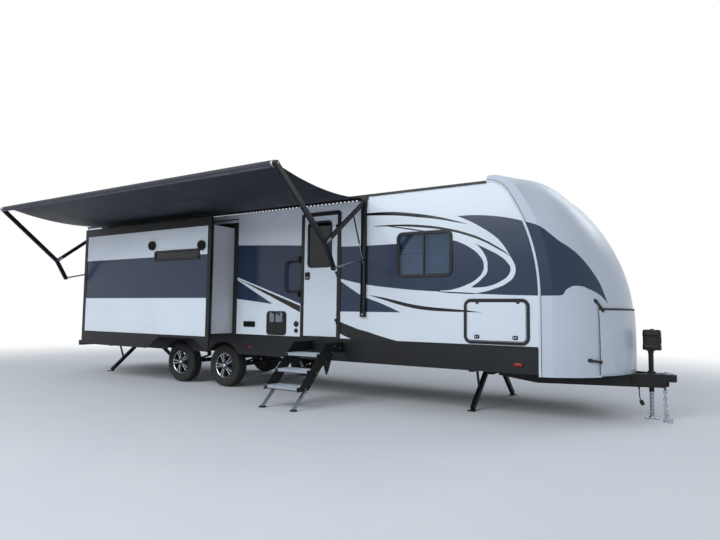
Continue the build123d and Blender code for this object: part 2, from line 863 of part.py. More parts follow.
# Gas bottles on their tray
with BuildPart() as gas_bottles:
    tray_top = tongue_top + tray_thick
    tray_x = bottle_r + bottle_spare
    tray_y = bottle_y + bottle_r + bottle_spare
    slab(bottle_x - tray_x, bottle_x + tray_x, -tray_y, tray_y, tongue_top, tray_top)
    for y in (-bottle_y, bottle_y):
        with BuildSketch(Plane.XY.offset(tray_top)) as outline:
            with Locations((bottle_x, y)):
                Circle(bottle_r)
        extrude(outline.sketch, amount=bottle_height)
        with BuildSketch(Plane.XY.offset(tray_top + bottle_height)) as outline:
            with Locations((bottle_x, y)):
                Circle(bottle_r * bottle_collar)
        extrude(outline.sketch, amount=bottle_r * bottle_collar)
keep(gas_bottles, "gas_bottles")

# Running gear
with BuildPart() as axle_beams:
    for x in axle_xs.values():
        end_y = tyre_outer_y - tyre_width - axle_air
        tube((x, -end_y, tyre_r), (x, end_y, tyre_r), axle_r)
        spindle_y = tyre_outer_y - spindle_end
        tube((x, -spindle_y, tyre_r), (x, spindle_y, tyre_r), spindle_r)
keep(axle_beams, "axle_beams")

with BuildPart() as leaf_springs:
    for x in axle_xs.values():
        for side in (-1, 1):
            y = side * rail_y
            seat_z = tyre_r + axle_r
            tip_z = seat_z + spring_rise
            near_x = x - spring_reach
            far_x = x + spring_reach
            with BuildSketch(Plane.XZ.offset(-y + spring_width / 2)) as outline:
                with BuildLine():
                    ThreePointArc((near_x, tip_z), (x, seat_z), (far_x, tip_z))
                    Line((far_x, tip_z), (far_x, tip_z + spring_thick))
                    ThreePointArc((far_x, tip_z + spring_thick), (x, seat_z + spring_thick),
                                  (near_x, tip_z + spring_thick))
                    Line((near_x, tip_z + spring_thick), (near_x, tip_z))
                make_face()
            extrude(outline.sketch, amount=-spring_width)
            for end in (-1, 1):
                hang_x = x + end * (spring_reach - hanger_inset)
                slab(hang_x - hanger_half, hang_x + hanger_half, y - spring_width / 2, y + spring_width / 2,
                     tip_z, rail_bottom)
keep(leaf_springs, "leaf_springs")

# Wheels, one tyre and one spoked rim at each corner
tyre_half_section = (
    (rim_r, tyre_bead_inset), (rim_r + tyre_side_rise, 0.0), (tyre_r - tyre_side_drop, 0.0),
    (tyre_r - tyre_shoulder[0], tyre_shoulder[1]), (tyre_r, tyre_tread_inset),
)
tyre_section = [(r, -inset) for r, inset in tyre_half_section]
tyre_section += [(r, inset - tyre_width) for r, inset in tyre_half_section[::-1]]
for place, x in axle_xs.items():
    for hand, side in (("right", -1), ("left", 1)):
        outer = side * tyre_outer_y
        plane = Plane(origin=(x, outer, tyre_r), x_dir=(1, 0, 0), z_dir=(0, side, 0))
        with BuildPart() as tyre:
            across = Plane(origin=(x, outer, tyre_r), x_dir=(0, 0, 1), z_dir=(-side, 0, 0))
            with BuildSketch(across) as outline:
                with BuildLine():
                    Polyline(*tyre_section, close=True)
                make_face()
            revolve(outline.sketch, axis=Axis((x, 0, tyre_r), (0, 1, 0)))
        keep(tyre, f"tyre_{place}_{hand}")
        with BuildPart() as rim:
            with BuildSketch(plane) as outline:
                Circle(rim_r)
                Circle(rim_r - rim_wall, mode=Mode.SUBTRACT)
            extrude(outline.sketch, amount=tyre_bead_inset - tyre_width)
            with BuildSketch(plane.offset(-spoke_set)) as outline:
                Circle(rim_r - rim_wall / 2)
                Circle(spindle_r + spindle_air, mode=Mode.SUBTRACT)
                for window, turn in ((wide_window, 0), (slot_window, 180 / spoke_pairs)):
                    corners = [(r, -half) for r, half in window] + [(r, half) for r, half in window[1::-1]]
                    with PolarLocations(0, spoke_pairs, start_angle=turn):
                        Polygon(*corners, align=None, mode=Mode.SUBTRACT)
            extrude(outline.sketch, amount=-spoke_thick)
            with BuildSketch(plane.offset(-hub_set)) as outline:
                Circle(hub_r)
                Circle(spindle_r + spindle_air, mode=Mode.SUBTRACT)
            extrude(outline.sketch, amount=-hub_depth)
        keep(rim, f"rim_{place}_{hand}")


# Window and door surrounds stand proud of the wall and line its openings
def surround(opening, band, side, lining=True):
    y = side * half_width + (frame_proud if side > 0 else 0)
    panel(*opening, y, frame_proud)
    if lining:
        inner = half_width if side > 0 else frame_bite - half_width
        panel(*grown(opening, -frame_lap - seat_gap), inner, frame_bite)
    reach = wall + 2 * frame_proud
    panel(*grown(opening, -band), side * half_width + reach / 2, reach, mode=Mode.SUBTRACT)


right_windows = (window_front,)
left_windows = (window_left_front, window_left_rear)
with BuildPart() as window_frames:
    for opening in right_windows:
        surround(opening, window_band, -1)
    for opening in left_windows:
        surround(opening, window_band, 1)
    for side, opening in ((-1, window_front), (1, window_left_front), (1, window_left_rear)):
        middle = (opening[0] + opening[1]) / 2
        slab(middle - mullion / 2, middle + mullion / 2, side * half_width,
             side * (half_width + frame_proud), opening[2] + window_band / 2, opening[3] - window_band / 2)
keep(window_frames, "window_frames")

with BuildPart() as window_glass:
    for opening in right_windows:
        panel(*grown(opening, -window_band - seat_gap), glass_thick - half_width, glass_thick)
    for opening in left_windows:
        panel(*grown(opening, -window_band - seat_gap), half_width, glass_thick)
keep(window_glass, "window_glass")

# Blinds hang behind the side windows
with BuildPart() as window_blinds:
    for side, opening in ((-1, window_front), (1, window_left_front), (1, window_left_rear)):
        x0, x1, z0, z1, radius = grown(opening, -window_band - blind_air)
        y = side * (half_width - wall + blind_set)
        slab(x0, x1, y - blind_thick / 2, y + blind_thick / 2, z0, z1)
keep(window_blinds, "window_blinds")

# Entry door: frame, leaf on three hinges, its window and its latch
leaf = grown(entry, -entry_band - door_gap)
leaf_y = leaf_thick - half_width - leaf_proud
hinge_x = leaf[1] + door_gap / 2
hinge_y = -half_width - leaf_proud - hinge_lift
with BuildPart() as entry_frame:
    surround(entry, entry_band, -1)
    slab(entry[0], entry[1], -half_width, 0, entry[2], floor_top, mode=Mode.SUBTRACT)
    for z in door_hinges:
        knuckle((hinge_x, hinge_y, z), (0, 0, 1), (1, 0, 0), (0, -1, 0))
keep(entry_frame, "entry_frame")

with BuildPart() as entry_leaf:
    panel(*leaf, leaf_y, leaf_thick)
    panel(*door_window, leaf_y, leaf_thick, mode=Mode.SUBTRACT)
    for z in door_hinges:
        knuckle((hinge_x, hinge_y, z + hinge_knuckle + seat_gap), (0, 0, 1), (-1, 0, 0), (0, -1, 0))
keep(entry_leaf, "entry_leaf")

with BuildPart() as entry_glass:
    panel(*grown(door_window, -seat_gap), leaf_y - leaf_thick + door_glass_set, door_glass_thick)
keep(entry_glass, "entry_glass")

with BuildPart() as entry_latch:
    face_y = leaf_y - leaf_thick
    plate_x = leaf[0] + latch_inset
    low_z = handle_z - latch_height / 2
    slab(plate_x, plate_x + latch_width, face_y - latch_plate, face_y, low_z, low_z + latch_height)
    grip_x = plate_x + latch_plate
    grip_end = plate_x + latch_width - latch_plate
    slab(grip_x, grip_end, face_y - latch_grip, face_y - latch_plate, handle_z, handle_z + latch_grip)
keep(entry_latch, "entry_latch")

# Baggage doors, one each side, and the small hatch, hung at their top edges
lid = grown(baggage, -lid_band - door_gap)
hatch_leaf = grown(hatch, -lid_band - door_gap)
lid_hinge_y = half_width + frame_proud + hinge_lift


def lid_hinge_z(opening):
    return opening[3] - lid_band - door_gap / 2


def lid_hinge_xs(opening):
    return (opening[0] + lid_hinge_inset, opening[1] - lid_hinge_inset - 2 * hinge_knuckle)


def lid_knuckles(opening, side):
    for x in lid_hinge_xs(opening):
        at = (x + hinge_knuckle + seat_gap, side * lid_hinge_y, lid_hinge_z(opening))
        knuckle(at, (1, 0, 0), (0, 0, -1), (0, side, 0))


def lid_catches(side):
    face_y = half_width + frame_proud
    for x in (lid[0] + catch_inset, lid[1] - catch_inset):
        slab(x - catch_half, x + catch_half, side * face_y, side * (face_y + catch_proud),
             lid[2] + catch_foot, lid[2] + catch_foot + catch_height)


with BuildPart() as lid_frames:
    surround(baggage, lid_band, -1)
    surround(baggage, lid_band, 1)
    surround(hatch, lid_band, -1)
    for side, opening in ((-1, baggage), (1, baggage), (-1, hatch)):
        for x in lid_hinge_xs(opening):
            knuckle((x, side * lid_hinge_y, lid_hinge_z(opening)), (1, 0, 0), (0, 0, 1), (0, side, 0))
keep(lid_frames, "lid_frames")

with BuildPart() as baggage_door_right:
    panel(*lid, lid_thick - half_width - frame_proud, lid_thick)
    lid_catches(-1)
    lid_knuckles(baggage, -1)
keep(baggage_door_right, "baggage_door_right")

with BuildPart() as baggage_door_left:
    panel(*lid, half_width + frame_proud, lid_thick)
    lid_catches(1)
    lid_knuckles(baggage, 1)
keep(baggage_door_left, "baggage_door_left")

with BuildPart() as hatch_lid:
    panel(*hatch_leaf, lid_thick - half_width - frame_proud, lid_thick)
    lid_knuckles(hatch, -1)
keep(hatch_lid, "hatch_lid")

# Slide room: outer panel, and the box of end walls, roof and floor behind it
panel_face = -half_width - slide_out
panel_back = panel_face + slide_panel
box_rear = slide_rear_x + slide_lap
box_front = slide_front_x - slide_lap
box_low = slide_low + slide_lap_low
box_high = slide_high - slide_lap_high
with BuildPart() as slide_face:
    slab(slide_rear_x + trim_thick, slide_front_x - trim_thick, panel_face, panel_back,
         slide_low + trim_thick, slide_high - trim_thick)
    panel(*grown(slide_window, -frame_lap), panel_back, slide_panel, mode=Mode.SUBTRACT)
keep(slide_face, "slide_face")

with BuildPart() as slide_box:
    slab(box_rear, box_front, panel_back, slide_inner_y, box_low, box_high)
    slab(box_rear + slide_wall, box_front - slide_wall, panel_back, slide_inner_y, box_low + slide_wall,
         box_high - slide_wall, mode=Mode.SUBTRACT)
keep(slide_box, "slide_box")

with BuildPart() as slide_trim:
    slab(slide_rear_x, slide_front_x, panel_face - trim_thick, panel_back, slide_low, slide_high)
    slab(slide_rear_x + trim_thick, slide_front_x - trim_thick, panel_face, panel_back,
         slide_low + trim_thick, slide_high - trim_thick, mode=Mode.SUBTRACT)
    slab(slide_rear_x + trim_width, slide_front_x - trim_width, panel_face - trim_thick, panel_face,
         slide_low + trim_foot, slide_high - trim_head, mode=Mode.SUBTRACT)
    for outer_x, foot_x, top_x in slide_skirts:
        with BuildSketch(Plane.XZ.offset(trim_thick - panel_face)) as skirt:
            Polygon((outer_x, slide_low + trim_thick), (outer_x, slide_skirt_low), (foot_x, slide_skirt_low),
                    (top_x, slide_low), (top_x, slide_low + trim_thick), align=None)
        extrude(skirt.sketch, amount=-slide_skirt_thick)
    for x, z in slide_discs:
        tube((x, panel_face, z), (x, panel_face - disc_thick, z), disc_r)
    panel(*slide_window, panel_face, frame_proud)
    panel(*grown(slide_window, -frame_lap - seat_gap), panel_face + frame_bite, frame_bite)
    panel(*grown(slide_window, -window_band), panel_back, slide_panel + frame_proud, mode=Mode.SUBTRACT)
keep(slide_trim, "slide_trim")

with BuildPart() as slide_glass:
    panel(*grown(slide_window, -window_band - seat_gap), panel_face + glass_thick, glass_thick)
keep(slide_glass, "slide_glass")

# Seal frame round the slide opening, on the wall
with BuildPart() as slide_seal:
    slab(slide_hole[0] - seal_rear, slide_hole[1] + seal_front, -half_width - seal_thick, -half_width,
         floor_top, slide_hole[3] + seal_head)
    slab(slide_hole[0], slide_hole[1], -half_width - seal_thick, -half_width, slide_hole[2], slide_hole[3],
         mode=Mode.SUBTRACT)
keep(slide_seal, "slide_seal")

# Gutter rails along the roof edges
with BuildPart() as gutter_rails:
    for side in (-1, 1):
        slab(rear_x, seam.top_x, side * half_width, side * (half_width + gutter_proud),
             wall_top - gutter_drop, wall_top + gutter_rise)
keep(gutter_rails, "gutter_rails")

# Awning: wall rail, roller, folding arms and cloth
rail_low = wall_top - rail_drop
rail_face_y = -half_width - rail_out
with BuildPart() as awning_rail:
    slab(arm_rear_x - rail_overhang, arm_front_x + rail_overhang, rail_face_y, -half_width, rail_low,
         rail_low + rail_height)
keep(awning_rail, "awning_rail")

with BuildPart() as awning_arms:
    for x in (arm_front_x, arm_rear_x):
        slab(x - channel_width / 2, x + channel_width / 2, -half_width - channel_depth, -half_width,
             channel_low, rail_low)
        wall_y = -half_width - channel_depth / 2
        bar((x, wall_y, arm_top_z), (x, elbow_y, elbow_z), arm_thick, arm_width)
        bar((x, wall_y, arm_low_z), (x, heel_y, heel_z), arm_thick, arm_width)
        bar((x, heel_y, heel_z), (x, elbow_y, elbow_z), arm_thick, arm_width)
        bar((x, elbow_y, elbow_z), (x, roller_y, roller_z), arm_thick, arm_width)
        tube((x - arm_pin / 2, elbow_y, elbow_z), (x + arm_pin / 2, elbow_y, elbow_z), pin_r)
        bar((x, *strut_top), (x, *strut_foot), strut_size, strut_size)
keep(awning_arms, "awning_arms")

with BuildPart() as awning_roller:
    tube((arm_rear_x + arm_thick / 2, roller_y, roller_z), (arm_front_x - arm_thick / 2, roller_y, roller_z),
         roller_r)
keep(awning_roller, "awning_roller")

cloth_r = roller_r + seat_gap
cloth_lift = math.radians(fabric_lift)
cloth_start = (rail_face_y - seat_gap, rail_low + rail_height - 3 * fabric_thick)
cloth_end = (roller_y + cloth_r * math.sin(cloth_lift), roller_z + cloth_r * math.cos(cloth_lift))
with BuildPart() as awning_cloth:
    with BuildSketch(Plane.YZ.offset(arm_rear_x + cloth_margin)) as outline:
        with BuildLine():
            ThreePointArc(cloth_start, (fabric_mid_y, fabric_mid_z), cloth_end)
            Line(cloth_end, (cloth_end[0], cloth_end[1] + fabric_thick))
            ThreePointArc(
                (cloth_end[0], cloth_end[1] + fabric_thick),
                (fabric_mid_y, fabric_mid_z + fabric_thick),
                (cloth_start[0], cloth_start[1] + fabric_thick),
            )
            Line((cloth_start[0], cloth_start[1] + fabric_thick), cloth_start)
        make_face()
    extrude(outline.sketch, amount=arm_front_x - arm_rear_x - 2 * cloth_margin)
keep(awning_cloth, "awning_cloth")

# Entry stair: three treads between side plates, and its adjustable legs
plate_nose_y = treads[0][0] - door_gap
plate_slope = (treads[2][0] - treads[0][0]) / (treads[2][1] - treads[0][1])
with BuildPart() as entry_stair:
    for y, z in treads:
        slab(stair_x0, stair_x1, y, y + tread_depth, z - tread_thick, z)
    for x in (stair_x0 - stair_side, stair_x1):
        with BuildSketch(Plane.YZ.offset(x)) as outline:
            root_y = plate_nose_y + plate_depth + plate_slope * (plate_root - plate_low)
            Polygon(
                (plate_nose_y, plate_low),
                (plate_nose_y + plate_slope * (plate_high - plate_low), plate_high),
                (-half_width - seat_gap, plate_high), (-half_width - seat_gap, plate_root),
                (root_y, plate_root), (plate_nose_y + plate_depth, plate_low), align=None,
            )
        extrude(outline.sketch, amount=stair_side)
keep(entry_stair, "entry_stair")

with BuildPart() as stair_legs:
    for x in (stair_x0 + leg_width / 2 + seat_gap, stair_x1 - leg_width / 2 - seat_gap):
        top = (x, plate_nose_y + plate_depth - leg_width, treads[0][1] - tread_thick - foot_rise)
        foot = (x, stair_foot_y, foot_rise)
        bar(foot, top, leg_width, leg_width)
        slab(x - foot_pad, x + foot_pad, stair_foot_y - foot_pad, stair_foot_y + foot_pad, 0, foot_rise)
keep(stair_legs, "stair_legs")

# Stabilisers front and rear
with BuildPart() as stabilisers:
    pad_x, pad_y, pad_z = stabiliser_pad
    strut_high_y, strut_low_y, strut_low_z = strut_ends
    beam_half = rail_y + rail_width / 2
    beam_low = rail_bottom - stabiliser_depth
    for x in stabiliser_xs:
        slab(x - stabiliser_beam / 2, x + stabiliser_beam / 2, -beam_half, beam_half, beam_low, rail_bottom)
        for side in (-1, 1):
            top = (x, side * stabiliser_top_y, beam_low + stabiliser_depth / 2)
            foot = (x, side * (stabiliser_foot_y - pad_y / 2), pad_z + stabiliser_leg / 4)
            bar(foot, top, stabiliser_leg, stabiliser_leg)
            bar((x, side * strut_high_y, beam_low + stabiliser_depth / 2),
                (x, side * strut_low_y, strut_low_z), stabiliser_strut, stabiliser_strut)
            slab(x - pad_x, x + pad_x, side * stabiliser_foot_y - pad_y, side * stabiliser_foot_y + pad_y,
                 0, pad_z)
keep(stabilisers, "stabilisers")

# Roof kit
roof_surface = wall_top + crown
with BuildPart() as roof_kit:
    slab(aircon_x - aircon_length / 2, aircon_x + aircon_length / 2, -aircon_width / 2, aircon_width / 2,
         roof_surface - crown, roof_surface + aircon_height)
    for x in vent_xs:
        slab(x - vent_size / 2, x + vent_size / 2, -vent_size / 2, vent_size / 2, roof_surface - crown,
             roof_surface + vent_height)
    with BuildSketch(Plane.YZ.offset(rear_x)) as under:
        with BuildLine():
            ThreePointArc((-roof_edge_y, wall_top), (0, wall_top + crown), (roof_edge_y, wall_top))
            Polyline((roof_edge_y, wall_top), (roof_edge_y, wall_top - wall),
                     (-roof_edge_y, wall_top - wall), (-roof_edge_y, wall_top))
        make_face()
    extrude(under.sketch, amount=seam.top_x - rear_x, mode=Mode.SUBTRACT)
keep(roof_kit, "roof_kit")

# Grab handle, folded flat on the wall
with BuildPart() as grab_handle:
    grab_y = -half_width - grab_out
    grip_x = grab_x - grab_reach
    grip_low = grab_low + 2 * grab_slope
    grip_high = grab_high - 2 * grab_slope
    tube((grab_x, grab_y, grab_low), (grab_x, grab_y, grab_high), grab_r)
    tube((grip_x, grab_y, grip_low), (grip_x, grab_y, grip_high), grab_r)
    tube((grab_x, grab_y, grab_low + grab_slope), (grip_x, grab_y, grip_low), grab_r)
    tube((grab_x, grab_y, grab_high - grab_slope), (grip_x, grab_y, grip_high), grab_r)
keep(grab_handle, "grab_handle")

with BuildPart() as grab_brackets:
    for z in (grab_low - bracket_height, grab_high + seat_gap):
        slab(grab_x - bracket_half, grab_x + bracket_half, -half_width - bracket_out, -half_width,
             z, z + bracket_height - seat_gap)
keep(grab_brackets, "grab_brackets")

# Tail lamps and side marker lamps
with BuildPart() as red_lamps:
    for side in (-1, 1):
        outer = side * (half_width - tail_lamp_inset)
        slab(rear_x - tail_lamp_proud, rear_x, outer - side * tail_lamp_width, outer,
             tail_lamp_z - tail_lamp_height / 2, tail_lamp_z + tail_lamp_height / 2)
        for x, z, length, height in marker_lamps:
            slab(x - length / 2, x + length / 2, side * half_width, side * (half_width + marker_proud),
                 z - height / 2, z + height / 2)
keep(red_lamps, "red_lamps")

# Wall fittings: heater vent and cable inlet, behind the entry door
with BuildPart() as wall_fittings:
    x0, x1, z0, z1 = heater_vent
    slab(x0, x1, -half_width - vent_proud, -half_width, z0, z1)
    slab(x0 + vent_rim, x1 - vent_rim, -half_width - vent_proud, vent_rim - half_width - vent_proud,
         z0 + vent_rim, z1 - vent_rim, mode=Mode.SUBTRACT)
    for x, z, radius in cable_inlets:
        tube((x, -half_width, z), (x, -half_width - vent_proud, z), radius)
keep(wall_fittings, "wall_fittings")

# Tow lead with its plug, hanging from the drawbar
with BuildPart() as tow_lead:
    with BuildLine() as route:
        FilletPolyline(*lead_route, radius=lead_bend)
    with BuildSketch(Plane(origin=route.line @ 0, z_dir=route.line % 0)):
        Circle(lead_r)
    sweep(path=route.line)
keep(tow_lead, "tow_lead")

with BuildPart() as tow_plug:
    plug_way = (Vector(*lead_route[-1]) - Vector(*lead_route[-2])).normalized()
    plug_top = Vector(*lead_route[-1]) + plug_way * seat_gap
    plug_low = plug_top + plug_way * plug_length
    tube(tuple(plug_top), tuple(plug_low), plug_r)
keep(tow_plug, "tow_plug")

os.makedirs("parts", exist_ok=True)
for piece in pieces:
    export_step(piece, f"parts/{piece.label}.step")
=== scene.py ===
import math

import bmesh
import bpy
from mathutils import Matrix, Vector
from mathutils.bvhtree import BVHTree


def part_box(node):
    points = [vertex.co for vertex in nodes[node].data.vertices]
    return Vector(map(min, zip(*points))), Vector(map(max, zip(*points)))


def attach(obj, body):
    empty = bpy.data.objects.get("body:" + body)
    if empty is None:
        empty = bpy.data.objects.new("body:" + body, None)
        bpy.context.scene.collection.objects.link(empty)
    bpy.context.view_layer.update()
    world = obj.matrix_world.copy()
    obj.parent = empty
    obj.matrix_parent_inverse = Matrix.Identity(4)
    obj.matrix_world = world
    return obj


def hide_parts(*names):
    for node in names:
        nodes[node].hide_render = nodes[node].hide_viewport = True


# Travel caravan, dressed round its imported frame. Metres, +X to the hitch, +Y to the road side, +Z up.
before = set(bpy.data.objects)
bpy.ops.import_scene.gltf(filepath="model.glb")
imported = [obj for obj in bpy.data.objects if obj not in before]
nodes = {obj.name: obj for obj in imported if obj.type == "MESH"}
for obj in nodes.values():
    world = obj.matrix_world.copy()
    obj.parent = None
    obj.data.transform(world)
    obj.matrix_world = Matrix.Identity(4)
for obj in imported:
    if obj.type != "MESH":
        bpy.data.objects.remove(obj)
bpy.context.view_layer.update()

# The photograph's viewpoint
EYE = Vector((0.743, -8.074, 1.311))
YAW = math.radians(32.46)
PITCH = math.radians(4.08)
ROLL = math.radians(0.68)
FOCAL_PIXELS = 563.5
IMAGE_WIDTH = 720
SENSOR = 36.0


def place_camera():
    """Sets the camera where the photograph was taken from."""
    level = Vector((math.cos(YAW), math.sin(YAW), 0))
    ahead = Vector((-math.sin(YAW) * math.cos(PITCH), math.cos(YAW) * math.cos(PITCH), math.sin(PITCH)))
    above = level.cross(ahead)
    right = math.cos(ROLL) * level + math.sin(ROLL) * above
    up = right.cross(ahead)
    lens = bpy.data.cameras.new("photo_lens")
    lens.sensor_width = SENSOR
    lens.lens = FOCAL_PIXELS / IMAGE_WIDTH * SENSOR
    lens.clip_end = 200
    camera = bpy.data.objects.new("photo_camera", lens)
    bpy.context.scene.collection.objects.link(camera)
    turned = Matrix((right, up, -ahead)).transposed()
    camera.matrix_world = Matrix.Translation(EYE) @ turned.to_4x4()
    bpy.context.scene.camera = camera


place_camera()

# Materials


def linear(code):
    """An sRGB hex colour as the linear values that a shader takes."""
    shares = [int(code[at:at + 2], 16) / 255 for at in (0, 2, 4)]
    return tuple(s / 12.92 if s <= 0.04045 else ((s + 0.055) / 1.055) ** 2.4 for s in shares) + (1.0,)


def add(tree, kind, inputs=None, **settings):
    """Adds a shader node: inputs maps a socket to a value or to the output that feeds it."""
    made = tree.nodes.new("ShaderNode" + kind)
    for name, value in settings.items():
        setattr(made, name, value)
    for socket, value in (inputs or {}).items():
        if isinstance(value, bpy.types.NodeSocket):
            tree.links.new(value, made.inputs[socket])
        else:
            made.inputs[socket].default_value = value
    return made


def per_metre(millimetres):
    """A noise scale whose features are about this many millimetres across."""
    return 1000 / millimetres


def start(name, **surface):
    """A new material; surface sets sockets of its shader, with _ for a space."""
    made = bpy.data.materials.new(name)
    made.use_nodes = True
    tree = made.node_tree
    shader = tree.nodes["Principled BSDF"]
    for socket, value in surface.items():
        shader.inputs[socket.replace("_", " ")].default_value = value
    place = add(tree, "TexCoord").outputs["Object"]
    return made, tree, shader, place


def relief(tree, shader, height, millimetres, strength=1.0):
    """Raises the surface by a field, so many millimetres at its highest."""
    bump = add(tree, "Bump", {"Height": height, "Distance": millimetres / 1000, "Strength": strength})
    tree.links.new(bump.outputs[0], shader.inputs["Normal"])


def clouded(tree, place, size, base, tone, amount, detail=4.0):
    """A colour that drifts from base to tone in clouds so many millimetres wide, and the clouds' own field."""
    cloud = add(tree, "TexNoise", {"Vector": place, "Scale": per_metre(size), "Detail": detail})
    share = add(tree, "MapRange", {0: cloud.outputs[0], 1: 0.35, 2: 0.7, 3: 0.0, 4: amount})
    mixed = add(tree, "Mix", {"Factor": share.outputs[0], "A": base, "B": tone}, data_type="RGBA")
    return mixed.outputs["Result"], cloud.outputs[0]


def rough_by(tree, shader, field, low, high):
    """Lets the surface's roughness follow a field, from low to high."""
    spread = add(tree, "MapRange", {0: field, 1: 0.3, 2: 0.7, 3: low, 4: high})
    tree.links.new(spread.outputs[0], shader.inputs["Roughness"])


def finish(name, base, tone, amount=0.35, cloud=400, rough=(0.3, 0.45), grain=None, depth=0.0, **surface):
    """A finish with drifting colour and gloss, and grain of a real size that stands depth mm high."""
    made, tree, shader, place = start(name, **surface)
    colour, field = clouded(tree, place, cloud, linear(base), linear(tone), amount)
    tree.links.new(colour, shader.inputs["Base Color"])
    rough_by(tree, shader, field, *rough)
    if grain:
        fine = add(tree, "TexNoise", {"Vector": place, "Scale": per_metre(grain), "Detail": 3.0})
        relief(tree, shader, fine.outputs[0], depth)
    return made


# Livery tables, on the side wall's plane: distance along the caravan, then height
BAND_TOP = ((-2.121, 2.557), (-1.931, 2.555), (-1.625, 2.520), (-1.429, 2.480), (-1.239, 2.423),
            (-1.073, 2.362), (-0.962, 2.271), (-0.866, 2.181), (-0.749, 2.089), (-0.667, 2.003),
            (-0.597, 1.906), (-0.531, 1.796), (-0.473, 1.682), (-0.428, 1.554), (-0.389, 1.422))
BAND_LOW = ((-3.956, 1.773), (-3.486, 1.675), (-2.974, 1.614), (-2.625, 1.584), (-2.217, 1.561),
            (-1.676, 1.529), (-1.073, 1.511), (-0.948, 1.511), (-0.841, 1.514), (-0.789, 1.580),
            (-0.748, 1.611), (-0.700, 1.632), (-0.652, 1.631), (-0.585, 1.606), (-0.528, 1.575),
            (-0.469, 1.532), (-0.426, 1.481), (-0.389, 1.422))
# Heights first, then distance along: the rounded ends of the charcoal fields
OVAL_END = ((1.581, -2.359), (1.594, -2.189), (1.645, -2.009), (1.720, -1.860), (1.813, -1.773),
            (1.914, -1.756), (2.032, -1.819), (2.134, -1.940), (2.245, -2.175))
LENS_REAR = ((1.617, -1.930), (1.637, -1.901), (1.731, -1.780), (1.837, -1.708), (1.938, -1.710),
             (2.068, -1.766), (2.182, -1.872))
LENS_FRONT = ((1.617, -1.834), (1.640, -1.663), (1.701, -1.521), (1.767, -1.439), (1.847, -1.413),
              (1.929, -1.457), (2.008, -1.545), (2.083, -1.674), (2.182, -1.872))
SWEEP_REAR = ((1.530, -2.147), (1.553, -1.807), (1.602, -1.611), (1.668, -1.458), (1.753, -1.370),
              (1.848, -1.351), (1.914, -1.369), (1.982, -1.406), (2.070, -1.456), (2.179, -1.531),
              (2.272, -1.626), (2.379, -1.778), (2.470, -1.931), (2.557, -2.121))
WEDGE_TOP = ((-3.956, 1.737), (-3.732, 1.603), (-3.580, 1.521), (-3.217, 1.395), (-2.944, 1.285))
REAR_TOP = ((-6.031, 2.372), (-4.708, 2.303), (-3.945, 2.247), (-3.017, 2.238))
REAR_LINE = ((-6.041, 1.835), (-4.705, 1.400))
REAR_DART_TOP = ((-6.041, 1.785), (-5.262, 1.396))
REAR_WHITE = ((-6.044, 1.474), (-5.222, 1.390))
# Pinstripes: distance along, height of the middle, and width
PIN_UPPER = ((-3.60, 2.694, 0.018), (-3.11, 2.670, 0.050), (-2.749, 2.620, 0.048), (-2.404, 2.556, 0.036),
             (-2.147, 2.490, 0.020), (-1.962, 2.437, 0.001))
PIN_MIDDLE = ((-3.406, 2.508, 0.001), (-2.981, 2.494, 0.028), (-2.629, 2.458, 0.034),
              (-2.291, 2.398, 0.032), (-1.931, 2.291, 0.033), (-1.726, 2.200, 0.030),
              (-1.578, 2.113, 0.026), (-1.481, 2.052, 0.018), (-1.413, 1.992, 0.001))
PIN_TAIL = ((-2.402, 1.573, 0.001), (-2.273, 1.56, 0.014), (-2.078, 1.549, 0.018), (-1.861, 1.54, 0.01))
PIN_BRANCH = ((-3.167, 2.496, 0.001), (-2.863, 2.442, 0.018), (-2.629, 2.395, 0.014), (-2.5, 2.37, 0.001))
PIN_LOWER = ((-3.459, 1.526, 0.001), (-3.218, 1.475, 0.030), (-2.973, 1.417, 0.046), (-2.742, 1.370, 0.050),
             (-2.511, 1.342, 0.047), (-2.217, 1.324, 0.038), (-2.037, 1.317, 0.026), (-1.775, 1.301, 0.001))
PIN_REAR = ((-6.01, 1.800, 0.001), (-4.704, 1.319, 0.100))
SWOOSH = ((-3.953, 1.052, 0.172), (-3.728, 0.976, 0.184), (-3.594, 0.940, 0.182), (-3.276, 0.905, 0.100),
          (-2.911, 0.872, 0.010))
DOOR_REAR = -4.60
DOOR_FRONT = -4.02
# The slide room's panel: where it starts across the caravan, and the heights of its charcoal band
SLIDE_FACE = -1.60
SLIDE_BAND = (1.478, 2.186)
OUTER_FACE = 1.178
HARDWARE_FACE = 1.2335
SEAM_X = -1.065
WEDGE_FOOT = 1.288


def edge(tree, along, table):
    """A drawn edge: the height, or the distance, that a table gives for a place along it."""
    near, far = table[0][0], table[-1][0]
    low, high = min(row[1] for row in table), max(row[1] for row in table)
    share = add(tree, "MapRange", {0: along, 1: near, 2: far, 3: 0.0, 4: 1.0})
    drawn = add(tree, "FloatCurve", {"Value": share.outputs[0]})
    points = drawn.mapping.curves[0].points
    rows = [((row[0] - near) / (far - near), (row[1] - low) / (high - low)) for row in table]
    points[0].location, points[1].location = rows[0], rows[-1]
    for row in rows[1:-1]:
        points.new(*row)
    drawn.mapping.update()
    return add(tree, "MapRange", {0: drawn.outputs[0], 1: 0.0, 2: 1.0, 3: low, 4: high}).outputs[0]


def both(tree, first, *others):
    """Where every one of these masks holds."""
    for other in others:
        first = add(tree, "Math", {0: first, 1: other}, operation="MULTIPLY").outputs[0]
    return first


def either(tree, first, *others):
    """Where any one of these masks holds."""
    for other in others:
        first = add(tree, "Math", {0: first, 1: other}, operation="MAXIMUM").outputs[0]
    return first


def over(tree, value, limit):
    return add(tree, "Math", {0: value, 1: limit}, operation="GREATER_THAN").outputs[0]


def under(tree, value, limit):
    return add(tree, "Math", {0: value, 1: limit}, operation="LESS_THAN").outputs[0]


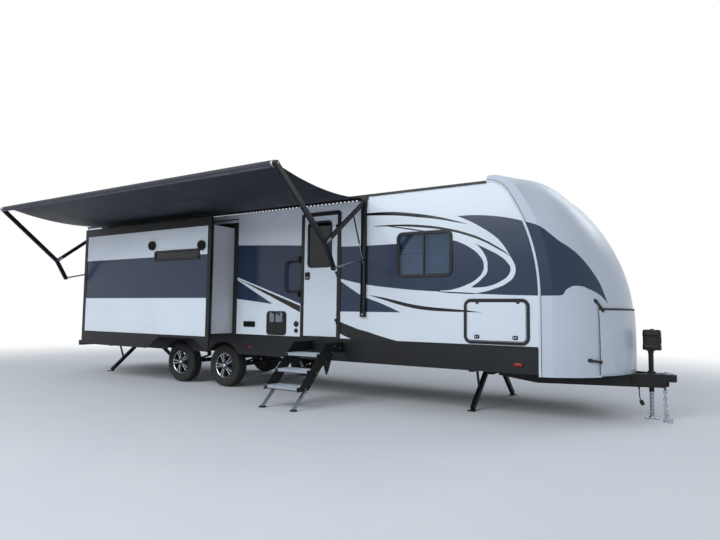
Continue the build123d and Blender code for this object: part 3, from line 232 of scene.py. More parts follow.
def ribbon(tree, x, z, table):
    """A stripe that tapers: where z is within half a width of its middle."""
    middle = edge(tree, x, [(row[0], row[1]) for row in table])
    width = edge(tree, x, [(row[0], row[2]) for row in table])
    off = add(tree, "Math", {0: z, 1: middle}, operation="SUBTRACT")
    off = add(tree, "Math", {0: off.outputs[0]}, operation="ABSOLUTE")
    off = add(tree, "Math", {0: off.outputs[0], 1: 2.0}, operation="MULTIPLY")
    near = under(tree, off.outputs[0], width)
    return both(tree, near, over(tree, x, table[0][0]), under(tree, x, table[-1][0]))


def livery_group():
    """Where the charcoal and the black vinyl lie on walls, doors and cap, and where black hinges stand proud."""
    made = bpy.data.node_groups.new("vinyl_livery", "ShaderNodeTree")
    made.interface.new_socket("Place", in_out="INPUT", socket_type="NodeSocketVector")
    for mask in ("Charcoal", "Black", "Hinges"):
        made.interface.new_socket(mask, in_out="OUTPUT", socket_type="NodeSocketFloat")
    source = made.nodes.new("NodeGroupInput")
    result = made.nodes.new("NodeGroupOutput")
    split = add(made, "SeparateXYZ", {0: source.outputs[0]})
    x, y, z = split.outputs
    above_low = over(made, z, edge(made, x, BAND_LOW))
    ahead_of_door = either(made, over(made, x, DOOR_FRONT), both(made, over(made, y, 0.0), over(made, x, DOOR_REAR)))
    off_centre = add(made, "Math", {0: y}, operation="ABSOLUTE").outputs[0]
    outside = either(made, over(made, off_centre, OUTER_FACE), over(made, x, SEAM_X))
    oval = both(made, above_low, ahead_of_door, under(made, x, edge(made, z, OVAL_END)),
                under(made, z, edge(made, x, REAR_TOP)))
    lens = both(made, over(made, x, edge(made, z, LENS_REAR)), under(made, x, edge(made, z, LENS_FRONT)),
                over(made, z, LENS_REAR[0][0]), under(made, z, LENS_REAR[-1][0]))
    sweep = both(made, above_low, over(made, x, edge(made, z, SWEEP_REAR)),
                 under(made, z, edge(made, x, BAND_TOP)), under(made, x, BAND_TOP[-1][0]))
    wedge = both(made, under(made, z, edge(made, x, WEDGE_TOP)), over(made, z, WEDGE_FOOT), ahead_of_door,
                 under(made, x, WEDGE_TOP[-1][0]))
    behind_door = under(made, x, DOOR_REAR)
    rear = both(made, behind_door, under(made, z, edge(made, x, REAR_TOP)),
                over(made, z, edge(made, x, REAR_LINE)))
    dart = both(made, under(made, z, edge(made, x, REAR_DART_TOP)),
                over(made, z, edge(made, x, REAR_WHITE)), under(made, x, REAR_DART_TOP[-1][0]))
    on_slide = under(made, y, SLIDE_FACE)
    on_wall = both(made, either(made, oval, lens, sweep, wedge, rear, dart), under(made, on_slide, 0.5))
    slide_band = both(made, on_slide, over(made, z, SLIDE_BAND[0]), under(made, z, SLIDE_BAND[1]))
    charcoal = both(made, either(made, on_wall, slide_band), outside)
    pins = [ribbon(made, x, z, table) for table in
            (PIN_UPPER, PIN_MIDDLE, PIN_BRANCH, PIN_LOWER, PIN_REAR, PIN_TAIL)]
    pins.append(both(made, ribbon(made, x, z, SWOOSH), ahead_of_door))
    black = both(made, either(made, *pins), under(made, on_slide, 0.5), outside)
    hinges = both(made, over(made, off_centre, HARDWARE_FACE), under(made, on_slide, 0.5))
    for mask, drawn in (("Charcoal", charcoal), ("Black", black), ("Hinges", hinges)):
        made.links.new(drawn, result.inputs[mask])
    return made


LIVERY = livery_group()


def gelcoat(name, base, tone, ripple, painted=True, gloss=(0.16, 0.28), **surface):
    """Gel-coated laminate: glossy, faintly rippled from its backing, with the vinyl livery on it."""
    made, tree, shader, place = start(name, **surface)
    colour, field = clouded(tree, place, 900, linear(base), linear(tone), 0.5)
    livery = tree.nodes.new("ShaderNodeGroup")
    livery.node_tree = LIVERY
    tree.links.new(place, livery.inputs[0])
    vinyls = (("22324a", "Charcoal"), ("0b0f15", "Black"), ("0c0d0f", "Hinges"))
    for vinyl, mask in vinyls if painted else vinyls[2:]:
        colour = add(tree, "Mix", {"Factor": livery.outputs[mask], "A": colour, "B": linear(vinyl)},
                     data_type="RGBA").outputs["Result"]
    tree.links.new(colour, shader.inputs["Base Color"])
    rough_by(tree, shader, field, *gloss)
    wave = add(tree, "TexNoise", {"Vector": place, "Scale": per_metre(ripple), "Detail": 1.0})
    relief(tree, shader, wave.outputs[0], 0.6, 0.25)
    return made


# Gel-coated fibreglass sheet: a smooth bright skin with a faint ripple
WALL_SKIN = gelcoat("laminated_gelcoat_sheet", "dbe2ea", "cfd7e1", 500, Coat_Weight=0.1, Coat_Roughness=0.08,
                    Specular_IOR_Level=0.3)
# Moulded gelcoat of the cap: thicker than the sheet, with a softer gloss
CAP_SKIN = gelcoat("moulded_gelcoat_cap", "c8d0db", "bbc4d0", 800, gloss=(0.30, 0.40), Coat_Weight=0.08,
                   Coat_Roughness=0.15, Specular_IOR_Level=0.3)
# The entry door's leaf: the same gelcoat without vinyl on it
DOOR_SKIN = gelcoat("door_gelcoat", "d7dee6", "cbd3dd", 500, painted=False, Coat_Weight=0.1, Coat_Roughness=0.08,
                    Specular_IOR_Level=0.3)
# The slide room's end walls and roof: plain white sheet, a little duller
PLAIN_SKIN = finish("plain_white_sheet", "d4d7dc", "c6cad1", rough=(0.35, 0.5), grain=2.0, depth=0.05)
# Roof membrane: matt, with a fine cloth print
ROOF_SKIN = finish("roof_membrane", "d9dadb", "bfc1c2", 0.6, 700, (0.6, 0.8), 3.0, 0.2)
# Powder-coated steel: even black with a fine orange peel
POWDER_STEEL = finish("powder_coated_steel", "0e1012", "1a1d20", 0.6, 300, (0.45, 0.6), 2.0, 0.12,
                      Specular_IOR_Level=0.3)
# Painted skirt metal, semi-gloss black
SKIRT_METAL = finish("painted_skirt_metal", "0c0f14", "161b22", 0.5, 900, (0.36, 0.5), 4.0, 0.05,
                     Specular_IOR_Level=0.3)
# Moulded ABS in black and in white, both with a fine spark texture
BLACK_ABS = finish("moulded_black_abs", "0d0f12", "171a1d", 0.4, 120, (0.38, 0.5), 1.2, 0.06,
                   Specular_IOR_Level=0.3)
WHITE_ABS = finish("moulded_white_abs", "dcdddc", "c9cac8", 0.5, 200, (0.4, 0.55), 1.5, 0.06)
# Cast silicone over the light-emitting chips of the awning's lamp strip: milky, with a soft glow of its own
LAMP_SILICONE = finish("cast_lamp_silicone", "eef1f4", "e2e6ea", 0.4, 20, (0.3, 0.4), 1.0, 0.02,
                       Emission_Color=linear("f3f6fa"), Emission_Strength=0.9)
# Extruded aluminium, painted black
BLACK_ALUMINIUM = finish("painted_black_aluminium", "0c0f13", "171b21", 0.4, 150, (0.32, 0.45), 1.0, 0.03,
                         Specular_IOR_Level=0.3)
# Zinc-plated steel: bluish spangle
ZINC_STEEL = finish("zinc_plated_steel", "a9b4bf", "7d8893", 0.8, 18, (0.3, 0.5), 3.0, 0.05, Metallic=1.0)
# Brushed aluminium of the stair treads
TREAD_ALUMINIUM = finish("stair_tread_aluminium", "aab3bd", "8c959f", 0.6, 40, (0.4, 0.55), 5.0, 0.3,
                         Metallic=0.7)
# Tyre rubber: dull, dusty in the hollows
TYRE_RUBBER = finish("tyre_rubber", "1b1b1c", "2f2c29", 0.7, 60, (0.7, 0.85), 1.5, 0.15)
# Cast alloy, painted dark between machined faces
CAST_ALLOY = finish("cast_alloy", "34373b", "27292c", 0.5, 30, (0.25, 0.4), 1.0, 0.02, Metallic=0.6)
# Machined alloy of the rims' lips and caps: fine turning marks
MACHINED_ALLOY = finish("machined_rim_alloy", "b9bec4", "9aa0a7", 0.4, 20, (0.16, 0.26), 0.8, 0.02, Metallic=1.0)
# Clear-anodised aluminium of the roller's ends
CLEAR_ALUMINIUM = finish("anodised_aluminium", "aab2bb", "8f979f", 0.4, 60, (0.25, 0.36), 1.0, 0.02,
                         Metallic=1.0)
# Pale trim extrusion of the seams
PALE_TRIM = finish("pale_trim_extrusion", "cfd6dd", "bcc4cc", 0.4, 200, (0.3, 0.42), 1.0, 0.02)
# Reeded panes of the small hatch: grey, half clear
HATCH_PANE = finish("hatch_pane_acrylic", "7d8794", "5d6672", 0.6, 30, (0.12, 0.2), 4.0, 0.15,
                    Transmission_Weight=0.2)
# Enamelled gas bottle steel
BOTTLE_ENAMEL = finish("enamelled_bottle_steel", "d8d9d6", "c6c7c3", 0.4, 150, (0.25, 0.35), 2.0, 0.04)
# Turned brass of the gas valves
BRASS = finish("turned_brass", "b08d4a", "8f7038", 0.5, 15, (0.25, 0.4), 0.8, 0.02, Metallic=1.0)
# Red polycarbonate lamp lens
RED_LENS = finish("red_polycarbonate_lens", "9c1210", "c32018", 0.5, 12, (0.1, 0.2), 3.0, 0.1,
                  Transmission_Weight=0.25)
# Slide and door rubber; the same black also stands as painted shade in the drilled holes of the stair's and the
# jack's legs
SEAL_RUBBER_AND_HOLE_SHADE = finish("extruded_seal_rubber_and_hole_shade", "0f1011", "1c1d1e", 0.5, 50, (0.55, 0.7), 1.0, 0.05)
# Plywood of the storage bay
BAY_BOARD = finish("storage_bay_board", "9a8466", "7d694e", 0.8, 60, (0.5, 0.65), 2.0, 0.1)
# Underfloor sheet, corrugated black plastic
UNDERFLOOR = finish("underfloor_sheet", "17181a", "232426", 0.5, 500, (0.5, 0.6), 6.0, 0.3)
# Awning vinyl, charcoal on both faces
AWNING_VINYL = finish("laminated_awning_vinyl", "161c28", "202836", 0.6, 500, (0.5, 0.65), 2.0, 0.15)
# Blind cloth, off-white
BLIND_CLOTH = finish("pleated_blind_cloth", "e6e9ee", "d6dae0", 0.5, 80, (0.7, 0.8), 2.0, 0.1)


def tinted_glass(name, tint, tone):
    """Thin tinted float glass: clear to the light, mirror-smooth, stronger reflections at a glancing view."""
    made, tree, shader, place = start(name)
    tree.nodes.remove(shader)
    colour = clouded(tree, place, 300, linear(tint), linear(tone), 0.5)[0]
    clear = add(tree, "BsdfTransparent", {"Color": colour})
    mirror = add(tree, "BsdfAnisotropic", {"Color": linear("e8edf2"), "Roughness": 0.03})
    edge_on = add(tree, "Fresnel", {"IOR": 1.5})
    blend = add(tree, "MixShader", {0: edge_on.outputs[0], 1: clear.outputs[0], 2: mirror.outputs[0]})
    tree.links.new(blend.outputs[0], tree.nodes["Material Output"].inputs["Surface"])
    return made


# Window glass, smoke-tinted on the walls and darker in the entry door
WINDOW_GLASS = tinted_glass("tinted_window_glass", "c3cfdc", "b6c3d2")
DOOR_GLASS = tinted_glass("dark_door_glass", "3a434c", "2f3840")
# Rubber jacket of the tow lead
CORD_JACKET = finish("rubber_cord_jacket", "1b1c1e", "26282b", 0.6, 40, (0.5, 0.65), 1.0, 0.05)

DRESSED = {
    WALL_SKIN: "right_wall left_wall rear_wall slide_face baggage_door_right baggage_door_left",
    DOOR_SKIN: "entry_leaf",
    CAP_SKIN: "front_cap gas_cover",
    PLAIN_SKIN: "slide_box",
    ROOF_SKIN: "roof_panel",
    UNDERFLOOR: "floor_slab",
    BAY_BOARD: "storage_deck gas_locker",
    SKIRT_METAL: "side_skirts",
    POWDER_STEEL: "chassis_frame drawbar coupler axle_beams leaf_springs stabilisers jack_tube entry_stair",
    BLACK_ABS: "jack_head entry_latch hatch_lid grab_brackets wall_fittings tow_plug",
    BLACK_ALUMINIUM: "window_frames entry_frame lid_frames slide_trim gutter_rails awning_rail awning_arms"
                     " awning_roller grab_handle",
    SEAL_RUBBER_AND_HOLE_SHADE: "slide_seal",
    ZINC_STEEL: "jack_leg safety_chains stair_legs",
    BOTTLE_ENAMEL: "gas_bottles",
    WHITE_ABS: "roof_kit",
    RED_LENS: "red_lamps",
    AWNING_VINYL: "awning_cloth",
    BLIND_CLOTH: "window_blinds",
    WINDOW_GLASS: "window_glass slide_glass",
    DOOR_GLASS: "entry_glass",
}


def dress(node, material):
    """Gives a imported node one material."""
    node.data.materials.clear()
    node.data.materials.append(material)


for material, names in DRESSED.items():
    for name in names.split():
        dress(nodes[name], material)
for name, node in nodes.items():
    if name.startswith("tyre_"):
        dress(node, TYRE_RUBBER)
    if name.startswith("rim_"):
        dress(node, CAST_ALLOY)


# Building in mesh code


def block(mesh, low, high):
    """A block between two corners."""
    middle = [(a + b) / 2 for a, b in zip(low, high)]
    size = [abs(b - a) for a, b in zip(low, high)]
    bmesh.ops.create_cube(mesh, size=1.0, matrix=Matrix.Translation(middle) @ Matrix.Diagonal((*size, 1.0)))


def rod(mesh, start, end, radius, far_radius=None, sides=20):
    """A round bar, or a cone, between two points."""
    start, end = Vector(start), Vector(end)
    turned = (end - start).to_track_quat("Z", "Y").to_matrix().to_4x4()
    bmesh.ops.create_cone(mesh, cap_ends=True, segments=sides, radius1=radius,
                          radius2=radius if far_radius is None else far_radius, depth=(end - start).length,
                          matrix=Matrix.Translation((start + end) / 2) @ turned)


def strip(mesh, rows, closed=False):
    """Faces between rows of points; closed joins the last point of each row to its first."""
    made = [[mesh.verts.new(point) for point in row] for row in rows]
    across = len(made[0]) if closed else len(made[0]) - 1
    for near, far in zip(made, made[1:]):
        for at in range(across):
            after = (at + 1) % len(near)
            mesh.faces.new((near[at], near[after], far[after], far[at]))
    return made


def loft(mesh, rows):
    """A closed skin through rings of points, with both ends shut."""
    made = strip(mesh, rows, closed=True)
    mesh.faces.new(made[0][::-1])
    mesh.faces.new(made[-1])


def prism(mesh, outline, place, depth):
    """A flat plate: place turns each (u, v, w) of the outline into a point, w running to depth."""
    loft(mesh, [[place(u, v, w) for u, v in outline] for w in (0.0, depth)])


def turned_about_y(mesh, centre, profile, steps, notch=None):
    """A turned skin about a line along Y: profile rows are (radius, y); notch(step, row) cuts a radius."""
    rows = []
    for step in range(steps + 1):
        angle = math.tau * step / steps
        row = []
        for at, (radius, y) in enumerate(profile):
            r = radius - (notch(step % steps, at) if notch else 0.0)
            row.append(centre + Vector((r * math.cos(angle), y, r * math.sin(angle))))
        rows.append(row)
    strip(mesh, rows)
    bmesh.ops.remove_doubles(mesh, verts=mesh.verts, dist=1e-6)


def rounded(x0, x1, z0, z1, radius, steps=6):
    """The outline of a round-cornered rectangle."""
    points = []
    for cx, cz, turn in ((x1, z1, 0), (x0, z1, 1), (x0, z0, 2), (x1, z0, 3)):
        inner_x = cx - radius if cx == x1 else cx + radius
        inner_z = cz - radius if cz == z1 else cz + radius
        for step in range(steps + 1):
            angle = math.pi / 2 * (turn + step / steps)
            points.append((inner_x + radius * math.cos(angle), inner_z + radius * math.sin(angle)))
    return points


def drawn_in(x0, x1, z0, z1, by):
    """A rectangle with each side moved in; a negative value grows it."""
    return x0 + by, x1 - by, z0 + by, z1 - by


def hoop(mesh, rings):
    """A closed frame through rings of points; the last ring meets the first."""
    made = [[mesh.verts.new(point) for point in ring] for ring in rings]
    for near, far in zip(made, made[1:] + made[:1]):
        for at in range(len(near)):
            after = (at + 1) % len(near)
            mesh.faces.new((near[at], near[after], far[after], far[at]))


def circle(centre, across, up, radius, steps=20):
    """Points round a circle in the plane of two unit directions."""
    turns = [math.tau * step / steps for step in range(steps)]
    return [Vector(centre) + radius * (math.cos(a) * Vector(across) + math.sin(a) * Vector(up)) for a in turns]


def turned(mesh, start, way, profile, steps=24):
    """A solid turned about a line from start along way: profile rows are (distance along, radius)."""
    way = Vector(way).normalized()
    across = way.orthogonal().normalized()
    up = way.cross(across)
    loft(mesh, [circle(Vector(start) + way * along, across, up, radius, steps) for along, radius in profile])


def studs(mesh, places, way, radius, height, sides=10):
    """Low round screw heads standing on a surface."""
    for place in places:
        turned(mesh, place, way, ((0.0, radius), (height * 0.5, radius * 0.95), (height, radius * 0.55)), sides)


def boss(mesh, box, radius, levels, lying=False, build=loft):
    """Round-cornered outlines on an upright or a lying plane: levels are (place of the plane, drawn in by)."""
    rings = []
    for level, by in levels:
        outline = rounded(*drawn_in(*box, by), radius)
        rings.append([(u, v, level) if lying else (u, level, v) for u, v in outline])
    build(mesh, rings)


def wall_ring(mesh, outer, inner, y, proud):
    """A round-cornered frame on an upright plane; outer and inner are (x0, x1, z0, z1, radius)."""
    out, into = rounded(*outer), rounded(*inner)
    crown = 0.7 * proud
    mean = [((a[0] + b[0]) / 2, (a[1] + b[1]) / 2) for a, b in zip(out, into)]
    hoop(mesh, [[(x, y, z) for x, z in out], [(x, y + crown, z) for x, z in out],
                [(x, y + proud, z) for x, z in mean], [(x, y + crown, z) for x, z in into],
                [(x, y, z) for x, z in into]])


def spread(first, last, count):
    """Evenly spaced values from first to last."""
    return [first + (last - first) * at / (count - 1) for at in range(count)]


def ready(made, body, replaces):
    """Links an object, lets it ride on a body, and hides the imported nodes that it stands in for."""
    bpy.context.scene.collection.objects.link(made)
    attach(made, body)
    if replaces:
        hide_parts(*replaces)
    return made


def piece(name, mesh, body, material, bevel=0.0, sharp=35, replaces=()):
    """Turns a bmesh into an object that rides on a body; bevel rounds its hard edges by so many metres."""
    bmesh.ops.recalc_face_normals(mesh, faces=mesh.faces)
    data = bpy.data.meshes.new(name)
    mesh.to_mesh(data)
    mesh.free()
    data.shade_smooth()
    data.set_sharp_from_angle(angle=math.radians(sharp))
    data.materials.append(material)
    made = bpy.data.objects.new(name, data)
    if bevel:
        edge_round = made.modifiers.new("rounded_edges", "BEVEL")
        edge_round.width = bevel
        edge_round.segments = 2
        edge_round.limit_method = "ANGLE"
        edge_round.angle_limit = math.radians(40)
    return ready(made, body, replaces)


def bent_tube(name, points, radius, body, material, replaces=()):
    """A smooth round tube along listed points."""
    line = bpy.data.curves.new(name, "CURVE")
    line.dimensions = "3D"
    line.bevel_depth = radius
    line.bevel_resolution = 5
    line.resolution_u = 16
    line.use_fill_caps = True
    path = line.splines.new("NURBS")
    path.points.add(len(points) - 1)
    for at, point in enumerate(points):
        path.points[at].co = (*point, 1.0)
    path.order_u = 3
    path.use_endpoint_u = True
    line.materials.append(material)
    return ready(bpy.data.objects.new(name, line), body, replaces)


# The tow vehicle's lead, hanging under the drawbar

LEAD_ROUTE = ((-0.126, -0.160, 0.3947), (-0.126, -0.160, 0.262), (-0.110, -0.160, 0.230))
LEAD_R = 0.007
# The strain relief's drop below the drawbar, and its radius there
RELIEF_PROFILE = ((0.0, 0.013), (0.006, 0.013), (0.008, 0.0105), (0.018, 0.0098), (0.020, 0.0105),
                  (0.024, 0.0105), (0.026, 0.0088), (0.036, 0.0078))


def hang_lead():
    """The lead's smooth line, a tapered strain relief where it leaves the drawbar, and its plug."""
    lead = bent_tube("tow_lead_cord", LEAD_ROUTE, LEAD_R, "caravan", CORD_JACKET,
                     replaces=("tow_lead",))
    boot = bmesh.new()
    top = Vector(LEAD_ROUTE[0])
    loft(boot, [circle(top - Vector((0, 0, drop)), (1, 0, 0), (0, 1, 0), radius) for drop, radius in RELIEF_PROFILE])
    piece("lead_strain_relief", boot, "caravan", SEAL_RUBBER_AND_HOLE_SHADE)


hang_lead()


# Wheels

TREAD_PITCHES = 66
GROOVE_DEPTH = 0.008
SHOULDER_CUT = 0.005
WHEELS = [name[len("tyre_"):] for name in nodes if name.startswith("tyre_")]


def dress_tyre(place):
    """A road tyre: four grooves round the tread, cut shoulders, and a raised band on each side."""
    low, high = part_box("tyre_" + place)
    centre = (low + high) / 2
    radius = (high.z - low.z) / 2
    half = (high.y - low.y) / 2
    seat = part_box("rim_" + place)
    rim_r = (seat[1].z - seat[0].z) / 2
    side = [(rim_r, half * 0.76), (rim_r + 0.012, half * 0.86), (rim_r + 0.020, half * 0.90),
            (rim_r + 0.028, half * 0.905), (rim_r + 0.048, half * 0.985), (rim_r + 0.066, half),
            (rim_r + 0.070, half * 0.985), (rim_r + 0.085, half * 0.98), (rim_r + 0.089, half * 0.995),
            (radius - 0.030, half * 0.955), (radius - 0.014, half * 0.88), (radius - 0.005, half * 0.78)]
    tread = []
    for at in (0.62, 0.40, 0.14):
        inner = at - 0.09
        tread += [(radius, half * (at + 0.05)), (radius, half * at), (radius - GROOVE_DEPTH, half * (at - 0.02)),
                  (radius - GROOVE_DEPTH, half * inner), (radius, half * (inner - 0.02))]
    profile = side + tread
    profile += [(r, -y) for r, y in profile[::-1]]
    shoulder = range(len(side) - 3, len(side) + 2)
    mirrored = [len(profile) - 1 - at for at in shoulder]

    def notch(step, row):
        return SHOULDER_CUT if step % 3 == 0 and (row in shoulder or row in mirrored) else 0.0

    mesh = bmesh.new()
    turned_about_y(mesh, centre, profile, 3 * TREAD_PITCHES, notch)
    piece("road_tyre_" + place, mesh, "wheel_" + place, TYRE_RUBBER,
          replaces=("tyre_" + place,))


SPOKE_PAIRS = 5
LUG_NUTS = 6
LUG_CIRCLE_R = 0.050
# Along a spoke: radius, whether at its tip's angle, half its width, and how far it stands out of the rim's face
SPOKE_SECTIONS = ((0.062, False, 0.010, -0.005), (0.110, False, 0.009, -0.004), (0.160, True, 0.010, -0.002),
                  (0.196, True, 0.013, 0.004))


def dress_rim(place):
    """A machined lip, raised spokes, a centre cap and lug nuts on the rim, and the brake drum behind it."""
    low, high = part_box("rim_" + place)
    centre = (low + high) / 2
    outward = -1 if centre.y < 0 else 1
    face = low.y if outward < 0 else high.y
    rim_r = (high.z - low.z) / 2
    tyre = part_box("tyre_" + place)
    outer = tyre[0].y if outward < 0 else tyre[1].y
    body = "wheel_" + place

    def at(radius, angle, depth):
        return Vector((centre.x + radius * math.cos(angle), face + outward * depth,
                       centre.z + radius * math.sin(angle)))

    lip = bmesh.new()
    turned_about_y(lip, Vector((centre.x, outer, centre.z)),
                   [(rim_r - 0.020, -outward * 0.038), (rim_r - 0.018, -outward * 0.016),
                    (rim_r - 0.006, -outward * 0.009), (rim_r + 0.004, -outward * 0.011),
                    (rim_r + 0.006, -outward * 0.020), (rim_r, -outward * 0.028)], 96)
    piece("rim_lip_" + place, lip, body, MACHINED_ALLOY)
    spokes = bmesh.new()
    for pair in range(SPOKE_PAIRS):
        for side in (-1, 1):
            angle = math.tau * (pair + 0.5) / SPOKE_PAIRS
            root, tip = angle + side * 0.16, angle + side * 0.155
            rings = []
            for radius, at_tip, half, proud in SPOKE_SECTIONS:
                turn = tip if at_tip else root
                across = Vector((-math.sin(turn), 0, math.cos(turn))) * half
                top = at(radius, turn, proud)
                foot = at(radius, turn, -0.030)
                rings.append([foot - across, top - across * 0.8, top + across * 0.8, foot + across])
            loft(spokes, rings)
    piece("rim_spokes_" + place, spokes, body, MACHINED_ALLOY, bevel=0.002)
    cap = bmesh.new()
    hub = Vector((centre.x, face, centre.z))
    turned_about_y(cap, hub, [(0.0005, outward * 0.012), (0.022, outward * 0.011), (0.032, outward * 0.006),
                              (0.037, outward * 0.0), (0.040, -outward * 0.012)], 40)
    piece("rim_centre_cap_" + place, cap, body, MACHINED_ALLOY)
    nuts = bmesh.new()
    for nut in range(LUG_NUTS):
        angle = math.tau * nut / LUG_NUTS
        rod(nuts, at(LUG_CIRCLE_R, angle, -0.010), at(LUG_CIRCLE_R, angle, 0.008), 0.0095, 0.008, sides=6)
    piece("lug_nuts_" + place, nuts, body, ZINC_STEEL, bevel=0.001)
    drum = bmesh.new()
    turned_about_y(drum, hub, [(0.075, -outward * 0.062), (0.125, -outward * 0.066), (0.136, -outward * 0.075),
                               (0.136, -outward * 0.125), (0.070, -outward * 0.128)], 48)
    piece("brake_drum_" + place, drum, body, POWDER_STEEL)


for place in WHEELS:
    dress_tyre(place)
    dress_rim(place)


# Awning

CLOTH_STEPS = 26
CLOTH_SPANS = 60
WRAP_SPANS = 40
HEM_SPANS = 120
# Folds across the sheet: height, turns along it, and how they lean from rail to roller
CLOTH_FOLDS = ((0.0022, 37, 3.1), (0.0016, 91, 0.0))
EDGE_CURL = 0.004
# The valance's waves: depth, and turns along it
HEM_WAVES = ((0.006, 60), (0.004, 151))


def dress_awning():
    """The cloth hangs in a shallow curve from rail to roller, with rolled hems and faint drive folds."""
    low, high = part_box("awning_cloth")
    roller_low, roller_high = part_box("awning_roller")
    roller_y = (roller_low.y + roller_high.y) / 2
    roller_z = (roller_low.z + roller_high.z) / 2
    roller_r = (roller_high.z - roller_low.z) / 2
    cloth = nodes["awning_cloth"].data.vertices
    near_edge = sorted(((v.co.y, v.co.z) for v in cloth if abs(v.co.x - high.x) < 1e-4), key=lambda row: row[0])
    line = []
    for y, z in near_edge:
        if line and abs(line[-1][0] - y) < 0.004:
            line[-1] = (y, max(z, line[-1][1]))
        else:
            line.append((y, z))

    def height(y):
        for (y0, z0), (y1, z1) in zip(line, line[1:]):
            if y0 <= y <= y1:
                return z0 + (z1 - z0) * (y - y0) / (y1 - y0)
        return line[0][1] if y < line[0][0] else line[-1][1]

    rows = []
    for along in range(CLOTH_SPANS + 1):
        share = along / CLOTH_SPANS
        x = low.x + (high.x - low.x) * share
        row = []
        for step in range(CLOTH_STEPS + 1):
            y = line[-1][0] + (line[0][0] - line[-1][0]) * step / CLOTH_STEPS
            out = step / CLOTH_STEPS
            belly = math.sin(math.pi * out)
            fold = sum(rise * math.sin(turns * share + lean * out) for rise, turns, lean in CLOTH_FOLDS)
            curl = EDGE_CURL * (math.exp(-share * 60) + math.exp(-(1 - share) * 60))
            row.append((x, y, height(y) + belly * (fold + curl)))
        rows.append(row)
    mesh = bmesh.new()
    strip(mesh, rows)
    sheet = piece("awning_sheet", mesh, "caravan", AWNING_VINYL, replaces=("awning_cloth",))
    thick = sheet.modifiers.new("cloth_thickness", "SOLIDIFY")
    thick.thickness = 0.0012
    caps = bmesh.new()
    for x, way in ((roller_low.x, -1), (roller_high.x, 1)):
        for start, end, near, far in ((0.004, 0.030, 0.006, 0.006), (0.030, 0.046, 0.005, 0.001)):
            rod(caps, (x - way * start, roller_y, roller_z), (x - way * end, roller_y, roller_z),
                roller_r + near, roller_r + far, sides=32)
    piece("roller_end_caps", caps, "caravan", CLEAR_ALUMINIUM, bevel=0.002)
    wrap = bmesh.new()
    loft(wrap, [circle((x, roller_y, roller_z), (0, 1, 0), (0, 0, 1), roller_r + 0.004, 28)
                for x in spread(low.x, high.x, WRAP_SPANS + 1)])
    piece("rolled_cloth", wrap, "caravan", AWNING_VINYL)
    hem = bmesh.new()
    bead_y = roller_y - roller_r * 0.86
    bead_z = roller_z - roller_r * 0.62
    rod(hem, (low.x, bead_y, bead_z), (high.x, bead_y, bead_z), 0.006, sides=10)
    flap = []
    for along in range(HEM_SPANS + 1):
        share = along / HEM_SPANS
        x = low.x + (high.x - low.x) * share
        wave = sum(depth * math.sin(turns * share) for depth, turns in HEM_WAVES)
        flap.append([(x, bead_y - 0.002, bead_z), (x, bead_y - 0.004 - wave * 0.4, bead_z - 0.016),
                     (x, bead_y - 0.003 - wave, bead_z - 0.034)])
    strip(hem, flap)
    piece("roller_hem", hem, "caravan", AWNING_VINYL)


dress_awning()


# Seams and corner mouldings

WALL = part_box("right_wall")[0].y
SEAM_START_Z = 1.500
SEAM_LOW_R = 2.460
SEAM_HIGH_R = 0.315
WALL_TOP = 2.975
CAP_FOOT = 0.545
# Across a seam: distance forward of the seam's line, and height above the wall
BEAD_SECTION = ((-0.017, -0.001), (-0.015, 0.004), (-0.005, 0.0075), (0.005, 0.0075), (0.013, 0.004),
                (0.015, -0.001))
SEALANT_SECTION = ((0.0145, -0.001), (0.0155, 0.0025), (0.0200, 0.002), (0.0205, -0.001))
CORNER_FOOT = 0.885
CORNER_TOP = 2.93


def seam_line(out, steps=26):
    """Points (x, z) of the side walls' front edge, moved forward by out, from its foot up to the roof."""
    turn = math.asin((WALL_TOP - SEAM_START_Z - SEAM_HIGH_R) / (SEAM_LOW_R - SEAM_HIGH_R))
    low_x = SEAM_X - SEAM_LOW_R
    high_x = low_x + (SEAM_LOW_R - SEAM_HIGH_R) * math.cos(turn)
    high_z = SEAM_START_Z + (SEAM_LOW_R - SEAM_HIGH_R) * math.sin(turn)
    points = [(SEAM_X + out, z) for z in spread(CAP_FOOT, SEAM_START_Z, 6)[:-1]]
    points += [(low_x + (SEAM_LOW_R + out) * math.cos(a), SEAM_START_Z + (SEAM_LOW_R + out) * math.sin(a))
               for a in spread(0.0, turn, steps)]
    points += [(high_x + (SEAM_HIGH_R + out) * math.cos(a), high_z + (SEAM_HIGH_R + out) * math.sin(a))
               for a in spread(turn, math.pi / 2, steps)[1:]]
    return points


